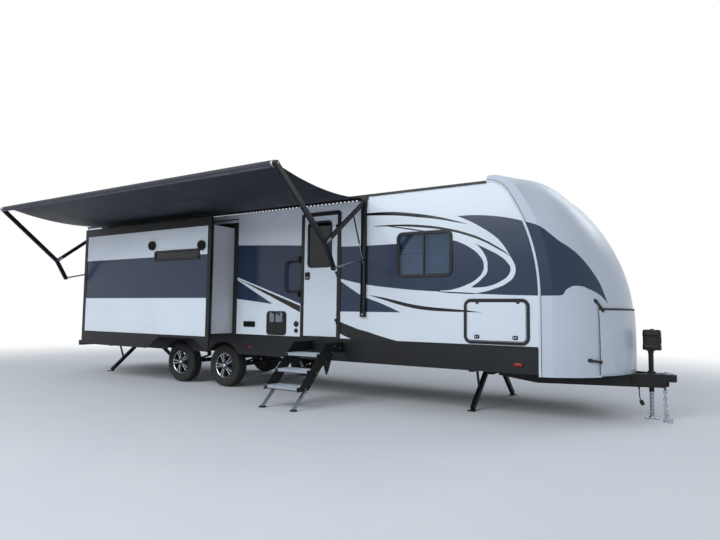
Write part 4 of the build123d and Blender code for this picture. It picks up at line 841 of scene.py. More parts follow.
def dress_seams():
    """A pale bead over each seam of wall and cap with dark sealant before it; black corner and base mouldings."""
    bead = bmesh.new()
    sealant = bmesh.new()
    heads = bmesh.new()
    for side in (-1, 1):
        face = side * abs(WALL)
        for mesh, section in ((bead, BEAD_SECTION), (sealant, SEALANT_SECTION)):
            lines = [seam_line(out) for out, proud in section]
            rows = [[(line[at][0], face + side * proud, line[at][1]) for line, (out, proud) in zip(lines, section)]
                    for at in range(len(lines[0]))]
            strip(mesh, rows)
        for x, z in seam_line(0.0)[2::2]:
            studs(heads, [(x, face + side * 0.0073, z)], (0, side, 0), 0.0035, 0.0012, 8)
    piece("seam_bead", bead, "caravan", PALE_TRIM)
    piece("seam_sealant", sealant, "caravan", SEAL_RUBBER_AND_HOLE_SHADE)
    piece("seam_screws", heads, "caravan", ZINC_STEEL)
    corners = bmesh.new()
    screws = bmesh.new()
    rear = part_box("right_wall")[0].x
    for side in (-1, 1):
        face = side * abs(WALL)
        for inward, front in ((0.030, 0.001), (0.001, 0.030)):
            block(corners, (rear - 0.003, face - side * inward, CORNER_FOOT),
                  (rear + front, face + side * 0.003, CORNER_TOP))
        for z in spread(0.92, 2.90, 16):
            studs(screws, [(rear + 0.018, face + side * 0.003, z)], (0, side, 0), 0.0045, 0.0015)
            studs(screws, [(rear - 0.003, face - side * 0.018, z)], (-1, 0, 0), 0.0045, 0.0015)
        block(corners, (rear + 0.03, face - side * 0.001, 0.879), (SEAM_X - 0.02, face + side * 0.004, 0.896))
    piece("corner_mouldings", corners, "caravan", BLACK_ALUMINIUM, bevel=0.001)
    piece("corner_screws", screws, "caravan", BLACK_ABS)


dress_seams()


# Windows and doors

BLIND_SLATS = 19
SLAT_SHARE = 0.82
WINDOW_CORNER = 0.090
# The side windows: from and to along the wall, from and to in height, and the side
WINDOWS = ((-3.012, -2.182, 1.764, 2.391, -1), (-4.500, -3.670, 1.764, 2.391, 1),
           (-8.900, -7.700, 1.764, 2.391, 1))


def dress_windows():
    """Each side window gets two lips, a slider rail, weep caps, a latch, frame screws and a slatted blind."""
    lips = bmesh.new()
    slats = bmesh.new()
    cords = bmesh.new()
    screws = bmesh.new()
    latches = bmesh.new()
    for x0, x1, z0, z1, side in WINDOWS:
        face = side * (abs(WALL) + 0.012)
        middle = (x0 + x1) / 2
        for outer, inner, sunk, proud in ((0.001, 0.020, 0.001, 0.006), (0.026, 0.041, 0.002, 0.005)):
            wall_ring(lips, *[(*drawn_in(x0, x1, z0, z1, by), WINDOW_CORNER - by) for by in (outer, inner)],
                      face - side * sunk, side * proud)
        block(lips, (middle - 0.006, face, z0 + 0.040), (middle + 0.012, face + side * 0.004, z1 - 0.040))
        for x in spread(x0 + 0.12, x1 - 0.12, 4):
            for z in (z0 + 0.021, z1 - 0.021):
                studs(screws, [(x, face, z)], (0, side, 0), 0.0040, 0.0018)
        for x in (x0 + 0.17, x1 - 0.17):
            block(latches, (x - 0.018, face, z0 + 0.005), (x + 0.018, face + side * 0.0045, z0 + 0.012))
        block(latches, (middle - 0.014, face - side * 0.001, z0 + 0.20),
              (middle + 0.014, face + side * 0.009, z0 + 0.245))
        back = side * (abs(WALL) - 0.062)
        pitch = (z1 - z0 - 0.10) / BLIND_SLATS
        out = side * 0.007
        for at in range(BLIND_SLATS):
            low = z0 + 0.055 + at * pitch
            prism(slats, [(x0 - 0.030, 0.0), (x1 + 0.010, 0.0), (x1 + 0.010, 1.0), (x0 - 0.030, 1.0)],
                  lambda u, v, w, low=low, tall=pitch * SLAT_SHARE, out=out, back=back:
                  (u, back + out * (1 - 2 * v) + w, low + tall * v), 0.0012)
        block(slats, (x0 - 0.034, back - 0.010, z1 - 0.052), (x1 + 0.014, back + 0.010, z1 - 0.040))
        for x in (x0 + 0.16, x1 - 0.16):
            block(cords, (x - 0.004, back - 0.0085, z0 + 0.05), (x + 0.004, back + 0.0085, z1 - 0.05))
    piece("window_lips", lips, "caravan", BLACK_ALUMINIUM)
    piece("window_screws", screws, "caravan", BLACK_ABS)
    piece("window_weep_caps", latches, "caravan", BLACK_ABS, bevel=0.0015)
    piece("blind_slats", slats, "caravan", BLIND_CLOTH, replaces=("window_blinds",))
    piece("blind_ladders", cords, "caravan", BLIND_CLOTH)


dress_windows()


def dress_entry():
    """The entry door's window rings, its lock case with paddle and key barrels, and the frame's screws."""
    glass_low, glass_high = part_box("entry_glass")
    latch_low, latch_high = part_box("entry_latch")
    face = WALL - 0.012
    ring = bmesh.new()
    x0, x1, z0, z1 = glass_low.x, glass_high.x, glass_low.z, glass_high.z
    inner = (*drawn_in(x0, x1, z0, z1, 0.018), 0.044)
    wall_ring(ring, (*drawn_in(x0, x1, z0, z1, -0.012), 0.072), inner, face, -0.009)
    wall_ring(ring, (*drawn_in(x0, x1, z0, z1, -0.014), 0.074), inner, face + 0.040, 0.007)
    piece("door_window_ring", ring, "entry_door", BLACK_ALUMINIUM)
    case = bmesh.new()
    barrels = bmesh.new()
    x0, x1, z0, z1 = latch_low.x, latch_high.x, latch_low.z, latch_high.z
    plate = face - 0.012
    boss(case, (x0, x1, z0, z1), 0.020, ((face, 0.0), (plate + 0.002, 0.0), (plate - 0.004, 0.006)))
    boss(case, (x0 + 0.016, x1 - 0.016, z0 + 0.058, z1 - 0.012), 0.012,
         ((plate, 0.0), (plate - 0.016, 0.001), (plate - 0.022, 0.006)))
    piece("door_lock_case", case, "entry_door", BLACK_ABS, bevel=0.001, replaces=("entry_latch",))
    for x, z in ((x0 + 0.030, z0 + 0.030), (x1 - 0.026, z0 + 0.030)):
        turned(barrels, (x, plate - 0.003, z), (0, -1, 0),
               ((0.0, 0.011), (0.003, 0.011), (0.004, 0.009), (0.0045, 0.007)), 20)
        block(barrels, (x - 0.0012, plate - 0.0085, z - 0.005), (x + 0.0012, plate - 0.007, z + 0.005))
    piece("door_key_barrels", barrels, "entry_door", ZINC_STEEL)
    frame_screws = bmesh.new()
    frame_low, frame_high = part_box("entry_frame")
    for z in spread(frame_low.z + 0.10, frame_high.z - 0.12, 11):
        studs(frame_screws, [(frame_low.x + 0.030, face, z), (frame_high.x - 0.020, face, z)], (0, -1, 0),
              0.0042, 0.0018)
    piece("door_frame_screws", frame_screws, "caravan", BLACK_ABS)


dress_entry()


def dress_grab_rail():
    """The folding grab rail: one bent tube, a swivel barrel at each end and the screwed plates that carry them."""
    low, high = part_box("grab_handle")
    y = (low.y + high.y) / 2
    post = high.x - 0.013
    reach = low.x + 0.013
    top, foot = high.z - 0.040, low.z + 0.040
    route = ((post, y, top), (reach + 0.15, y, top), (reach, y, top), (reach, y, top - 0.20),
             (reach, y, foot + 0.20), (reach, y, foot), (reach + 0.15, y, foot), (post, y, foot))
    bent_tube("grab_rail_tube", route, 0.0135, "grab_rail", BLACK_ALUMINIUM,
              replaces=("grab_handle",))
    barrels = bmesh.new()
    for end, at in ((high.z, top), (low.z, foot)):
        way = 1 if end > at else -1
        turned(barrels, (post, y, at - way * 0.024), (0, 0, way),
               ((0.0, 0.016), (0.004, 0.020), (0.044, 0.020), (0.048, 0.014), (abs(end - at) + 0.024, 0.013)), 24)
    piece("grab_rail_barrels", barrels, "grab_rail", BLACK_ALUMINIUM)
    brackets = bmesh.new()
    for z in (low.z - 0.012, high.z + 0.012):
        boss(brackets, (post - 0.026, post + 0.026, z - 0.030, z + 0.030), 0.014,
             ((WALL, 0.0), (WALL - 0.007, 0.0), (WALL - 0.010, 0.004)))
        studs(brackets, [(post - 0.016, WALL - 0.009, z + 0.018), (post + 0.016, WALL - 0.009, z - 0.018)],
              (0, -1, 0), 0.005, 0.003)
    piece("grab_rail_plates", brackets, "caravan", BLACK_ABS, bevel=0.001)


dress_grab_rail()


def dress_lids():
    """Thumb catches, key discs and an edge lip on the baggage doors; panes, bars and a catch on the small hatch."""
    frame_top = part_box("lid_frames")[1].z
    for hand, side in (("right", -1), ("left", 1)):
        low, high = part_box("baggage_door_" + hand)
        face = side * (abs(WALL) + 0.012)
        body = "baggage_lid_" + hand
        catches = bmesh.new()
        keys = bmesh.new()
        for x in (low.x + 0.140, high.x - 0.140):
            z = low.z + 0.055
            boss(catches, (x - 0.034, x + 0.034, z - 0.024, z + 0.024), 0.014,
                 ((face, 0.0), (face + side * 0.010, 0.001), (face + side * 0.0165, 0.006)))
            turned(keys, (x + 0.014, face + side * 0.016, z), (0, side, 0),
                   ((0, 0.008), (0.003, 0.008), (0.004, 0.006)), 16)
            block(keys, (x - 0.020, face + side * 0.016, z - 0.012), (x - 0.006, face + side * 0.021, z + 0.012))
        piece("lid_catches_" + hand, catches, body, BLACK_ABS, bevel=0.001)
        piece("lid_keys_" + hand, keys, body, ZINC_STEEL)
        lip = bmesh.new()
        lid = (low.x, high.x, low.z, frame_top - 0.032)
        wall_ring(lip, (*drawn_in(*lid, 0.003), 0.058), (*drawn_in(*lid, 0.012), 0.049), face, side * 0.003)
        piece("lid_edge_" + hand, lip, body, BLACK_ALUMINIUM)
    low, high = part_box("hatch_lid")
    face = WALL - 0.012
    panes = bmesh.new()
    bars = bmesh.new()
    x0, x1 = low.x + 0.030, high.x - 0.030
    middle = x0 + (x1 - x0) * 0.42
    z0, z1 = low.z + 0.165, low.z + 0.325
    for a, b in ((x0, middle - 0.010), (middle + 0.010, x1)):
        boss(panes, (a, b, z0, z1), 0.012, ((face + 0.001, 0.0), (face - 0.003, 0.0)))
        wall_ring(bars, (*drawn_in(a, b, z0, z1, -0.008), 0.020), (*drawn_in(a, b, z0, z1, 0.004), 0.008),
                  face, -0.007)
    turned(bars, ((x0 + x1) / 2, face, low.z + 0.055), (0, -1, 0),
           ((0, 0.016), (0.005, 0.016), (0.008, 0.013)), 20)
    piece("hatch_panes", panes, "service_hatch", HATCH_PANE)
    piece("hatch_bars", bars, "service_hatch", BLACK_ABS)


dress_lids()


# The red marker lamps low on the side walls: place along, height of the middle, length and height
SIDE_LAMPS = ((-1.328, 0.672, 0.110, 0.046), (-5.715, 0.700, 0.080, 0.030))
# The tail lamps on the rear wall: from and to across the caravan, from and to in height
TAIL_LAMP = (1.000, 1.180, 1.000, 1.150)


def dress_wall_fittings():
    """Louvres in the heater vent, flip caps on the inlets, and bezels, lenses and ribs of the lamps."""
    louvres = bmesh.new()
    for z in spread(1.038, 1.092, 4):
        prism(louvres, [(-5.859, 0.0), (-5.640, 0.0), (-5.640, 1.0), (-5.859, 1.0)],
              lambda u, v, w, z=z: (u, WALL - 0.003 - 0.011 * v, z - 0.008 * v + w), 0.0015)
    caps = bmesh.new()
    for x, z, radius in ((-4.770, 1.087, 0.042), (-4.770, 0.985, 0.030)):
        turned(caps, (x, WALL - 0.015, z), (0, -1, 0),
               ((0.0, radius * 0.86), (0.008, radius * 0.84), (0.012, radius * 0.7)), 32)
        block(caps, (x - 0.012, WALL - 0.022, z + radius * 0.80), (x + 0.012, WALL - 0.001, z + radius * 1.12))
        block(caps, (x - 0.008, WALL - 0.028, z - radius * 0.95), (x + 0.008, WALL - 0.014, z - radius * 0.72))
    piece("vent_louvres", louvres, "caravan", BLACK_ABS)
    piece("inlet_caps", caps, "caravan", BLACK_ABS, bevel=0.001)
    bezels = bmesh.new()
    ribs = bmesh.new()
    lenses = bmesh.new()
    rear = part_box("right_wall")[0].x
    lamp_in, lamp_out, z0, z1 = TAIL_LAMP
    for side in (-1, 1):
        face = side * abs(WALL)
        for x, z, length, height in SIDE_LAMPS:
            lamp = (x - length / 2, x + length / 2, z - height / 2, z + height / 2)
            wall_ring(bezels, (*drawn_in(*lamp, -0.007), height / 2 + 0.006),
                      (*drawn_in(*lamp, 0.001), height / 2 - 0.002), face, side * 0.006)
            loft(lenses, [[(px, face + side * out, pz) for px, pz in
                           rounded(*drawn_in(*lamp, pull), height / 2 - 0.001 - pull)]
                          for out, pull in ((0.0, 0.0), (0.009, 0.001), (0.014, 0.005), (0.016, 0.011))])
        y0, y1 = sorted((side * lamp_in, side * lamp_out))
        hoop(bezels, [[(x, y, z) for y, z in rounded(*drawn_in(y0, y1, z0, z1, by), 0.02)]
                      for x, by in ((rear, -0.010), (rear - 0.024, -0.010), (rear - 0.027, -0.003),
                                    (rear - 0.024, 0.001), (rear, 0.001))])
        for z in spread(z0 + 0.012, z1 - 0.012, 15):
            block(ribs, (rear - 0.0300, y0 + 0.006, z - 0.0012), (rear - 0.0275, y1 - 0.006, z + 0.0012))
        block(lenses, (rear - 0.028, y0, z0), (rear, y1, z1))
    piece("lamp_bezels", bezels, "caravan", BLACK_ABS)
    piece("lamp_lenses", lenses, "caravan", RED_LENS, bevel=0.002, replaces=("red_lamps",))
    piece("lens_ribs", ribs, "caravan", RED_LENS)


dress_wall_fittings()


# Slide room

SPEAKERS = ((-7.552, 2.386), (-6.311, 2.333))
SPEAKER_SECTION = ((0.0, 0.080), (0.040, 0.079), (0.050, 0.071), (0.046, 0.062), (0.0, 0.060))
GRILLE_RADII = (0.053, 0.042, 0.031, 0.020, 0.010)
GRILLE_SECTION = ((0.026, -0.0022), (0.046, -0.0022), (0.046, 0.0022), (0.026, 0.0022))
SLIDE_WINDOW = (-7.494, -6.361, 2.111, 2.287)
RAIN_RAIL_SECTION = ((0.0, 0.0), (0.034, -0.004), (0.036, 0.004), (0.006, 0.010), (0.0, 0.020))


def dress_slide():
    """Speakers, a window lip and trim screws on the slide room's face; a rain rail on the wall over its opening."""
    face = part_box("slide_trim")[0].y
    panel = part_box("slide_face")[0].y
    cones = bmesh.new()
    for x, z in SPEAKERS:
        hoop(cones, [circle((x, panel - out, z), (1, 0, 0), (0, 0, 1), radius, 48)
                     for out, radius in SPEAKER_SECTION])
        for radius in GRILLE_RADII:
            hoop(cones, [circle((x, panel - out, z), (1, 0, 0), (0, 0, 1), radius + grow, 40)
                         for out, grow in GRILLE_SECTION])
    piece("speaker_grilles", cones, "slide_room", BLACK_ABS)
    lip = bmesh.new()
    wall_ring(lip, (*SLIDE_WINDOW, 0.039), (*drawn_in(*SLIDE_WINDOW, 0.016), 0.024), panel - 0.012, -0.004)
    piece("slide_window_lip", lip, "slide_room", BLACK_ALUMINIUM)
    screws = bmesh.new()
    for z in spread(0.90, 2.72, 15):
        studs(screws, [(-9.530, face, z), (-6.136, face, z)], (0, -1, 0), 0.0045, 0.0018)
    for x in spread(-9.40, -6.26, 24):
        studs(screws, [(x, face, 2.752), (x, face, 0.843)], (0, -1, 0), 0.0045, 0.0018)
    piece("slide_trim_screws", screws, "slide_room", BLACK_ABS)
    rail = bmesh.new()
    low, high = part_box("slide_seal")
    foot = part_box("slide_trim")[1].z + 0.016
    prism(rail, RAIN_RAIL_SECTION, lambda u, v, w: (low.x + w, WALL - u, foot + v), high.x - low.x)
    piece("slide_rain_rail", rail, "caravan", BLACK_ALUMINIUM, bevel=0.001)


dress_slide()


# Entry stair

TREADS = ((-2.257, 0.292), (-2.046, 0.495), (-1.837, 0.700))
TREAD_DEPTH = 0.230
STAIR = (-4.470, -3.905)
# The treads' plain strip at the stair's rear side
TREAD_END = 0.062
LEG_FOOT = (-2.300, 0.016)
LEG_TOP = (-2.064, 0.230)
LEG_HALF = 0.0173
# A leg hole drawn as a flat black disc of painted shade, for the tube's dark inside: distance along, radius
LEG_HOLE_SHADE = ((0.0, 0.0065), (0.0006, 0.0065))
LOCK_PIN = ((0.0, 0.012), (0.004, 0.012), (0.005, 0.006), (0.030, 0.006), (0.032, 0.009), (0.038, 0.008))
WASHER_BOLT = ((0.0, 0.017), (0.002, 0.017), (0.0025, 0.011), (0.010, 0.011), (0.011, 0.009))
PLATE_BOLTS = ((-1.872, 0.456), (-1.653, 0.595), (-1.495, 0.708), (-1.620, 0.438), (-2.099, 0.262),
               (-1.440, 0.790), (-1.300, 0.760))
# The bolts that the links join, from the lowest tread up
LINKED_BOLTS = (4, 0, 1, 2)


def dress_stair():
    """Ribbed bright treads with rolled noses, bolted plates, drilled legs with lock pins and rubber feet; the legs'
    holes are flat black discs of painted shade.
    """
    treads = bmesh.new()
    ribs = bmesh.new()
    end, x1 = STAIR[0] + 0.002, STAIR[1] - 0.002
    x0 = end + TREAD_END
    for y, z in TREADS:
        block(ribs, (end, y, z - 0.002), (x0, y + TREAD_DEPTH, z + 0.001))
        block(treads, (x0, y - 0.004, z - 0.001), (x1, y + TREAD_DEPTH + 0.002, z + 0.0025))
        turned(treads, (x0, y - 0.002, z - 0.006), (1, 0, 0), ((0.0, 0.009), (x1 - x0, 0.009)), 16)
        block(treads, (x0, y - 0.007, z - 0.034), (x1, y - 0.0015, z - 0.006))
        for at in spread(y + 0.018, y + TREAD_DEPTH - 0.014, 12):
            block(ribs, (x0 + 0.012, at - 0.003, z + 0.002), (x1 - 0.012, at + 0.003, z + 0.0055))
    piece("stair_treads", treads, "caravan", TREAD_ALUMINIUM, bevel=0.001)
    piece("stair_tread_ribs", ribs, "caravan", TREAD_ALUMINIUM, bevel=0.0008)
    bolts = bmesh.new()
    arms = bmesh.new()
    links = [PLATE_BOLTS[at] for at in LINKED_BOLTS]
    for x, way in ((STAIR[0] - 0.014, -1), (STAIR[1] + 0.014, 1)):
        for y, z in PLATE_BOLTS:
            turned(bolts, (x, y, z), (way, 0, 0), WASHER_BOLT, 6)
        for (y0, z0), (y1, z1) in zip(links, links[1:]):
            prism(arms, [(-0.016, 0.0), (0.016, 0.0), (0.016, 1.0), (-0.016, 1.0)],
                  lambda u, v, w, y0=y0, z0=z0, y1=y1, z1=z1, x=x, way=way:
                  (x + way * (0.0005 + w), y0 + (y1 - y0) * v + u * 0.6, z0 + (z1 - z0) * v - u * 0.8), 0.004)
        prism(arms, [(-1.700, 0.560), (-1.648, 0.422), (-1.615, 0.408), (-1.590, 0.430), (-1.470, 0.700)],
              lambda u, v, w, x=x, way=way: (x - way * 0.0005 - way * w, u, v), 0.004)
    piece("stair_bolts", bolts, "caravan", ZINC_STEEL)
    piece("stair_links", arms, "caravan", POWDER_STEEL, bevel=0.0008)
    # Flat black discs on both faces of each leg: painted shade where the drilled holes show the tube's dark inside
    hole_shade_discs = bmesh.new()
    pins = bmesh.new()
    feet = bmesh.new()
    for x, outward in ((STAIR[0] + LEG_HALF, -1), (STAIR[1] - LEG_HALF, 1)):
        foot = Vector((x, *LEG_FOOT))
        top = Vector((x, *LEG_TOP))
        face = (top - foot).cross(Vector((1, 0, 0))).normalized()
        for at in spread(0.10, 0.85, 9):
            for way in (face, -face):
                turned(hole_shade_discs, foot.lerp(top, at) + way * 0.0171, way, LEG_HOLE_SHADE, 14)
        turned(pins, foot.lerp(top, 0.93) + Vector((outward * 0.017, 0, 0)), (outward, 0, 0), LOCK_PIN, 16)
        boss(feet, (x - 0.040, x + 0.040, foot.y - 0.040, foot.y + 0.040), 0.012,
             ((0.0003, 0.0), (0.012, 0.0), (0.020, 0.008)), lying=True)
    piece("stair_leg_hole_shades", hole_shade_discs, "caravan", SEAL_RUBBER_AND_HOLE_SHADE)
    piece("stair_lock_pins", pins, "caravan", ZINC_STEEL)
    piece("stair_feet", feet, "caravan", SEAL_RUBBER_AND_HOLE_SHADE, bevel=0.002)


dress_stair()


# Drawbar, jack and chains

CHAIN_X = 0.150
# Each chain: place across, the side it is laid to, and its links on the ground
CHAIN_YS = ((-0.062, -1, 10), (0.062, 1, 4))
RUN_LINKS = 4
RUN_STEP = 0.038
LINK_STEP = 0.0437
LINK_WIRE = 0.0039
LINK_HALF = 0.0262
LINK_HALF_WIDTH = 0.0142
HANG_LINKS = 8
STAPLE_Z = 0.364


def chain_link(mesh, centre, long_way, wide_way, steps=26, sides=8):
    """A round wire link: two straight runs joined by half circles."""
    long_way, wide_way = Vector(long_way), Vector(wide_way)
    normal = long_way.cross(wide_way)
    straight = LINK_HALF - LINK_HALF_WIDTH
    rings = []
    for step in range(steps):
        angle = math.tau * step / steps
        out = math.cos(angle) * wide_way + math.sin(angle) * long_way
        middle = Vector(centre) + out * LINK_HALF_WIDTH + long_way * (straight if math.sin(angle) >= 0 else -straight)
        rings.append(circle(middle, out, normal, LINK_WIRE, sides))
    hoop(mesh, rings)


def dress_chains():
    """A round-link chain on each staple, laid to and fro on the ground, with a slip hook beyond its last link."""
    links = bmesh.new()
    hooks = bmesh.new()
    hang_z = STAPLE_Z + 0.0003 - 0.030 + 0.008
    for y, side, on_ground in CHAIN_YS:
        for count in range(HANG_LINKS):
            across = (0, 1, 0) if count % 2 else (1, 0, 0)
            chain_link(links, (CHAIN_X, y, hang_z - count * LINK_STEP), (0, 0, 1), across)
        for count in range(on_ground):
            across = (0, 0, 1) if count % 2 else (1, 0, 0)
            run, place = divmod(count, RUN_LINKS)
            place = RUN_LINKS - 1 - place if run % 2 else place
            chain_link(links, (CHAIN_X + RUN_STEP * run, y + side * (0.026 + place * LINK_STEP), 0.0182),
                       (0, 1, 0), across)
        end = y + side * (0.026 + RUN_LINKS * LINK_STEP)
        rings = []
        for at, angle in enumerate(spread(-0.5, 3.6, 16)):
            out = Vector((math.cos(angle), side * math.sin(angle), 0))
            radius = 0.0062 if 2 < at < 13 else 0.0048
            rings.append(circle(Vector((CHAIN_X + RUN_STEP * run, end + side * 0.004, 0.012)) + out * 0.021, out,
                                (0, 0, 1), radius, 10))
        loft(hooks, rings)
    piece("round_chain_links", links, "caravan", ZINC_STEEL, replaces=("safety_chains",))
    piece("chain_hooks", hooks, "caravan", ZINC_STEEL)


dress_chains()


JACK_PLATE_HALF = 0.0755


def dress_jack():
    """The power head's bands, crank plug, switches and ribs; the tube's collars; the leg's holes, as black discs of
    painted shade, and its foot.
    """
    low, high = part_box("jack_head")
    shell = bmesh.new()
    x0, x1, y0, y1 = low.x, high.x, low.y, high.y
    for levels in (((0.0, 0.002), (0.010, -0.003), (0.060, -0.003), (0.064, -0.0005)),
                   ((0.176, -0.0005), (0.180, -0.003), (0.215, -0.003), (0.219, -0.0005))):
        boss(shell, (x0, x1, y0, y1), 0.030, [(low.z + up, by) for up, by in levels], lying=True)
    turned(shell, (0.018, 0.0, high.z - 0.001), (0, 0, 1), ((0.0, 0.022), (0.008, 0.021), (0.012, 0.016)), 24)
    piece("jack_head_bands", shell, "caravan", BLACK_ABS, bevel=0.0015)
    panel = bmesh.new()
    for x in (0.040, -0.010):
        block(panel, (x - 0.012, y0 - 0.007, low.z + 0.105), (x + 0.012, y0 + 0.001, low.z + 0.140))
    block(panel, (-0.034, y0 - 0.0035, low.z + 0.085), (0.064, y0 + 0.001, low.z + 0.155))
    for y in spread(-0.048, 0.048, 7):
        block(panel, (x1 - 0.001, y - 0.003, low.z + 0.085), (x1 + 0.003, y + 0.003, low.z + 0.165))
    piece("jack_switches", panel, "caravan", SEAL_RUBBER_AND_HOLE_SHADE, bevel=0.0015)
    metal = bmesh.new()
    turned(metal, (0, 0, low.z - 0.002), (0, 0, -1),
           ((0.0, 0.052), (0.010, 0.052), (0.012, 0.036), (0.040, 0.034), (0.042, 0.0305)), 32)
    turned(metal, (0, 0, 0.5605), (0, 0, 1), ((0.0, 0.060), (0.010, 0.060), (0.013, 0.045), (0.030, 0.033)), 32)
    for angle in (0.6, 2.5, 3.8, 5.7):
        turned(metal, (0.048 * math.cos(angle), 0.048 * math.sin(angle), 0.571), (0, 0, 1),
               ((0.0, 0.009), (0.007, 0.009), (0.008, 0.007)), 6)
    piece("jack_collars", metal, "caravan", POWDER_STEEL, bevel=0.0008)
    # Flat black discs on both faces of the leg: painted shade where its holes show the tube's dark inside
    hole_shade_discs = bmesh.new()
    for z in spread(0.060, 0.300, 6):
        for way in (-1, 1):
            turned(hole_shade_discs, (0, way * 0.0247, z), (0, way, 0), ((0.0, 0.008), (0.0007, 0.008)), 16)
    piece("jack_leg_hole_shades", hole_shade_discs, "caravan", SEAL_RUBBER_AND_HOLE_SHADE)
    foot = bmesh.new()
    turned(foot, (0, 0, 0.0085), (0, 0, 1), ((0.0, 0.042), (0.010, 0.038), (0.024, 0.0252)), 32)
    boss(foot, (-JACK_PLATE_HALF, JACK_PLATE_HALF, -JACK_PLATE_HALF, JACK_PLATE_HALF), 0.012,
         ((0.0005, 0.0), (0.0125, 0.0), (0.0125, 0.004), (0.0005, 0.004)), lying=True, build=hoop)
    turned(foot, (-0.031, 0, 0.055), (-1, 0, 0), ((0.0, 0.006), (0.016, 0.006), (0.018, 0.009), (0.022, 0.009)), 14)
    piece("jack_foot_rim", foot, "caravan", ZINC_STEEL, bevel=0.0008)


dress_jack()


def dress_coupler():
    """The coupler's latch lever, socket lip and bolt heads, and the breakaway switch on the drawbar."""
    latch = bmesh.new()
    prism(latch, [(0.135, 0.0), (0.235, 0.0), (0.250, 0.010), (0.240, 0.024), (0.150, 0.036), (0.128, 0.018)],
          lambda u, v, w: (u, -0.014 + w, 0.553 + v), 0.028)
    turned(latch, (0.146, -0.030, 0.572), (0, 1, 0), ((0.0, 0.007), (0.060, 0.007)), 14)
    piece("coupler_latch", latch, "caravan", ZINC_STEEL, bevel=0.002)
    lip = bmesh.new()
    hoop(lip, [circle((0.235, 0, z), (1, 0, 0), (0, 1, 0), radius, 36)
               for z, radius in ((0.4702, 0.040), (0.466, 0.041), (0.464, 0.038), (0.466, 0.0315), (0.4702, 0.031))])
    for side in (-1, 1):
        for x, z in ((0.182, 0.540), (0.198, 0.505), (0.178, 0.485)):
            turned(lip, (x, side * 0.050, z), (0, side, 0), ((0.0, 0.012), (0.009, 0.012), (0.010, 0.009)), 6)
    piece("coupler_bolts", lip, "caravan", POWDER_STEEL, bevel=0.0006)
    switch = bmesh.new()
    block(switch, (-0.205, -0.232, 0.470), (-0.155, -0.205, 0.510))
    turned(switch, (-0.155, -0.219, 0.490), (1, 0, 0),
           ((0.0, 0.010), (0.012, 0.010), (0.013, 0.006), (0.022, 0.006)), 16)
    piece("breakaway_switch", switch, "caravan", BLACK_ABS, bevel=0.002)


dress_coupler()


BOTTLE_YS = (-0.175, 0.175)
BOTTLE_PROFILE = ((0.0, 0.115), (0.040, 0.115), (0.042, 0.108), (0.060, 0.130), (0.085, 0.150), (0.115, 0.155),
                  (0.350, 0.155), (0.385, 0.150), (0.415, 0.130), (0.436, 0.095), (0.446, 0.050), (0.448, 0.030))
# The open collar round a valve: radius, and height above the tray
COLLAR_SECTION = ((0.092, 0.44), (0.092, 0.520), (0.088, 0.520), (0.088, 0.44))


def dress_bottles():
    """Two steel gas bottles with domed ends, foot rings, collars and valves, on a rimmed tray with a clamp bar."""
    tray_low, tray_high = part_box("gas_bottles")
    tray_z = tray_low.z
    middle = (tray_low.x + tray_high.x) / 2
    steel = bmesh.new()
    brass = bmesh.new()
    arc = spread(math.radians(35), math.radians(325), 30)
    for y in BOTTLE_YS:
        turned(steel, (middle, y, tray_z + 0.010), (0, 0, 1), BOTTLE_PROFILE, 48)
        strip(steel, [[(middle + radius * math.cos(a), y + radius * math.sin(a), tray_z + up)
                       for radius, up in COLLAR_SECTION] for a in arc])
        turned(brass, (middle, y, tray_z + 0.455), (0, 0, 1),
               ((0.0, 0.014), (0.030, 0.014), (0.032, 0.009), (0.045, 0.009)), 18)
        turned(brass, (middle, y, tray_z + 0.500), (0, 0, 1), ((0.0, 0.022), (0.012, 0.022), (0.014, 0.018)), 12)
        turned(brass, (middle, y, tray_z + 0.475), (1, 0, 0), ((0.0, 0.011), (0.040, 0.011), (0.042, 0.008)), 18)
    piece("gas_bottle_shells", steel, "caravan", BOTTLE_ENAMEL, replaces=("gas_bottles",))
    piece("gas_valves", brass, "caravan", BRASS)
    tray = bmesh.new()
    x0, x1, y0, y1 = tray_low.x, tray_high.x, tray_low.y, tray_high.y
    block(tray, (x0, y0, tray_z), (x1, y1, tray_z + 0.006))
    boss(tray, (x0, x1, y0, y1), 0.03, ((tray_z + 0.001, 0.0), (tray_z + 0.030, 0.0), (tray_z + 0.030, 0.003),
                                        (tray_z + 0.001, 0.003)), lying=True, build=hoop)
    turned(tray, (middle, 0, tray_z), (0, 0, 1), ((0.0, 0.008), (0.500, 0.008)), 14)
    block(tray, (middle - 0.020, -0.20, tray_z + 0.452), (middle + 0.020, 0.20, tray_z + 0.456))
    turned(tray, (middle, 0, tray_z + 0.456), (0, 0, 1), ((0.0, 0.022), (0.012, 0.020), (0.020, 0.012)), 6)
    piece("gas_tray", tray, "caravan", POWDER_STEEL)


dress_bottles()


# Gas locker cover

# Each draw latch on the right side: its anchor on the cap, and its end on the cover
LATCHES = (((-0.510, -0.841, 1.465), (-0.429, -0.779, 1.330)), ((-0.570, -0.933, 0.749), (-0.449, -0.819, 0.726)))


# Along a strap: share of its length, half its width, and how far it stands off
STRAP_SECTIONS = ((0.0, 0.022, 0.004), (0.10, 0.027, 0.012), (0.24, 0.017, 0.015), (0.78, 0.014, 0.017),
                  (0.88, 0.024, 0.017), (1.0, 0.020, 0.012))
STRAP_HALF_THICK = 0.006


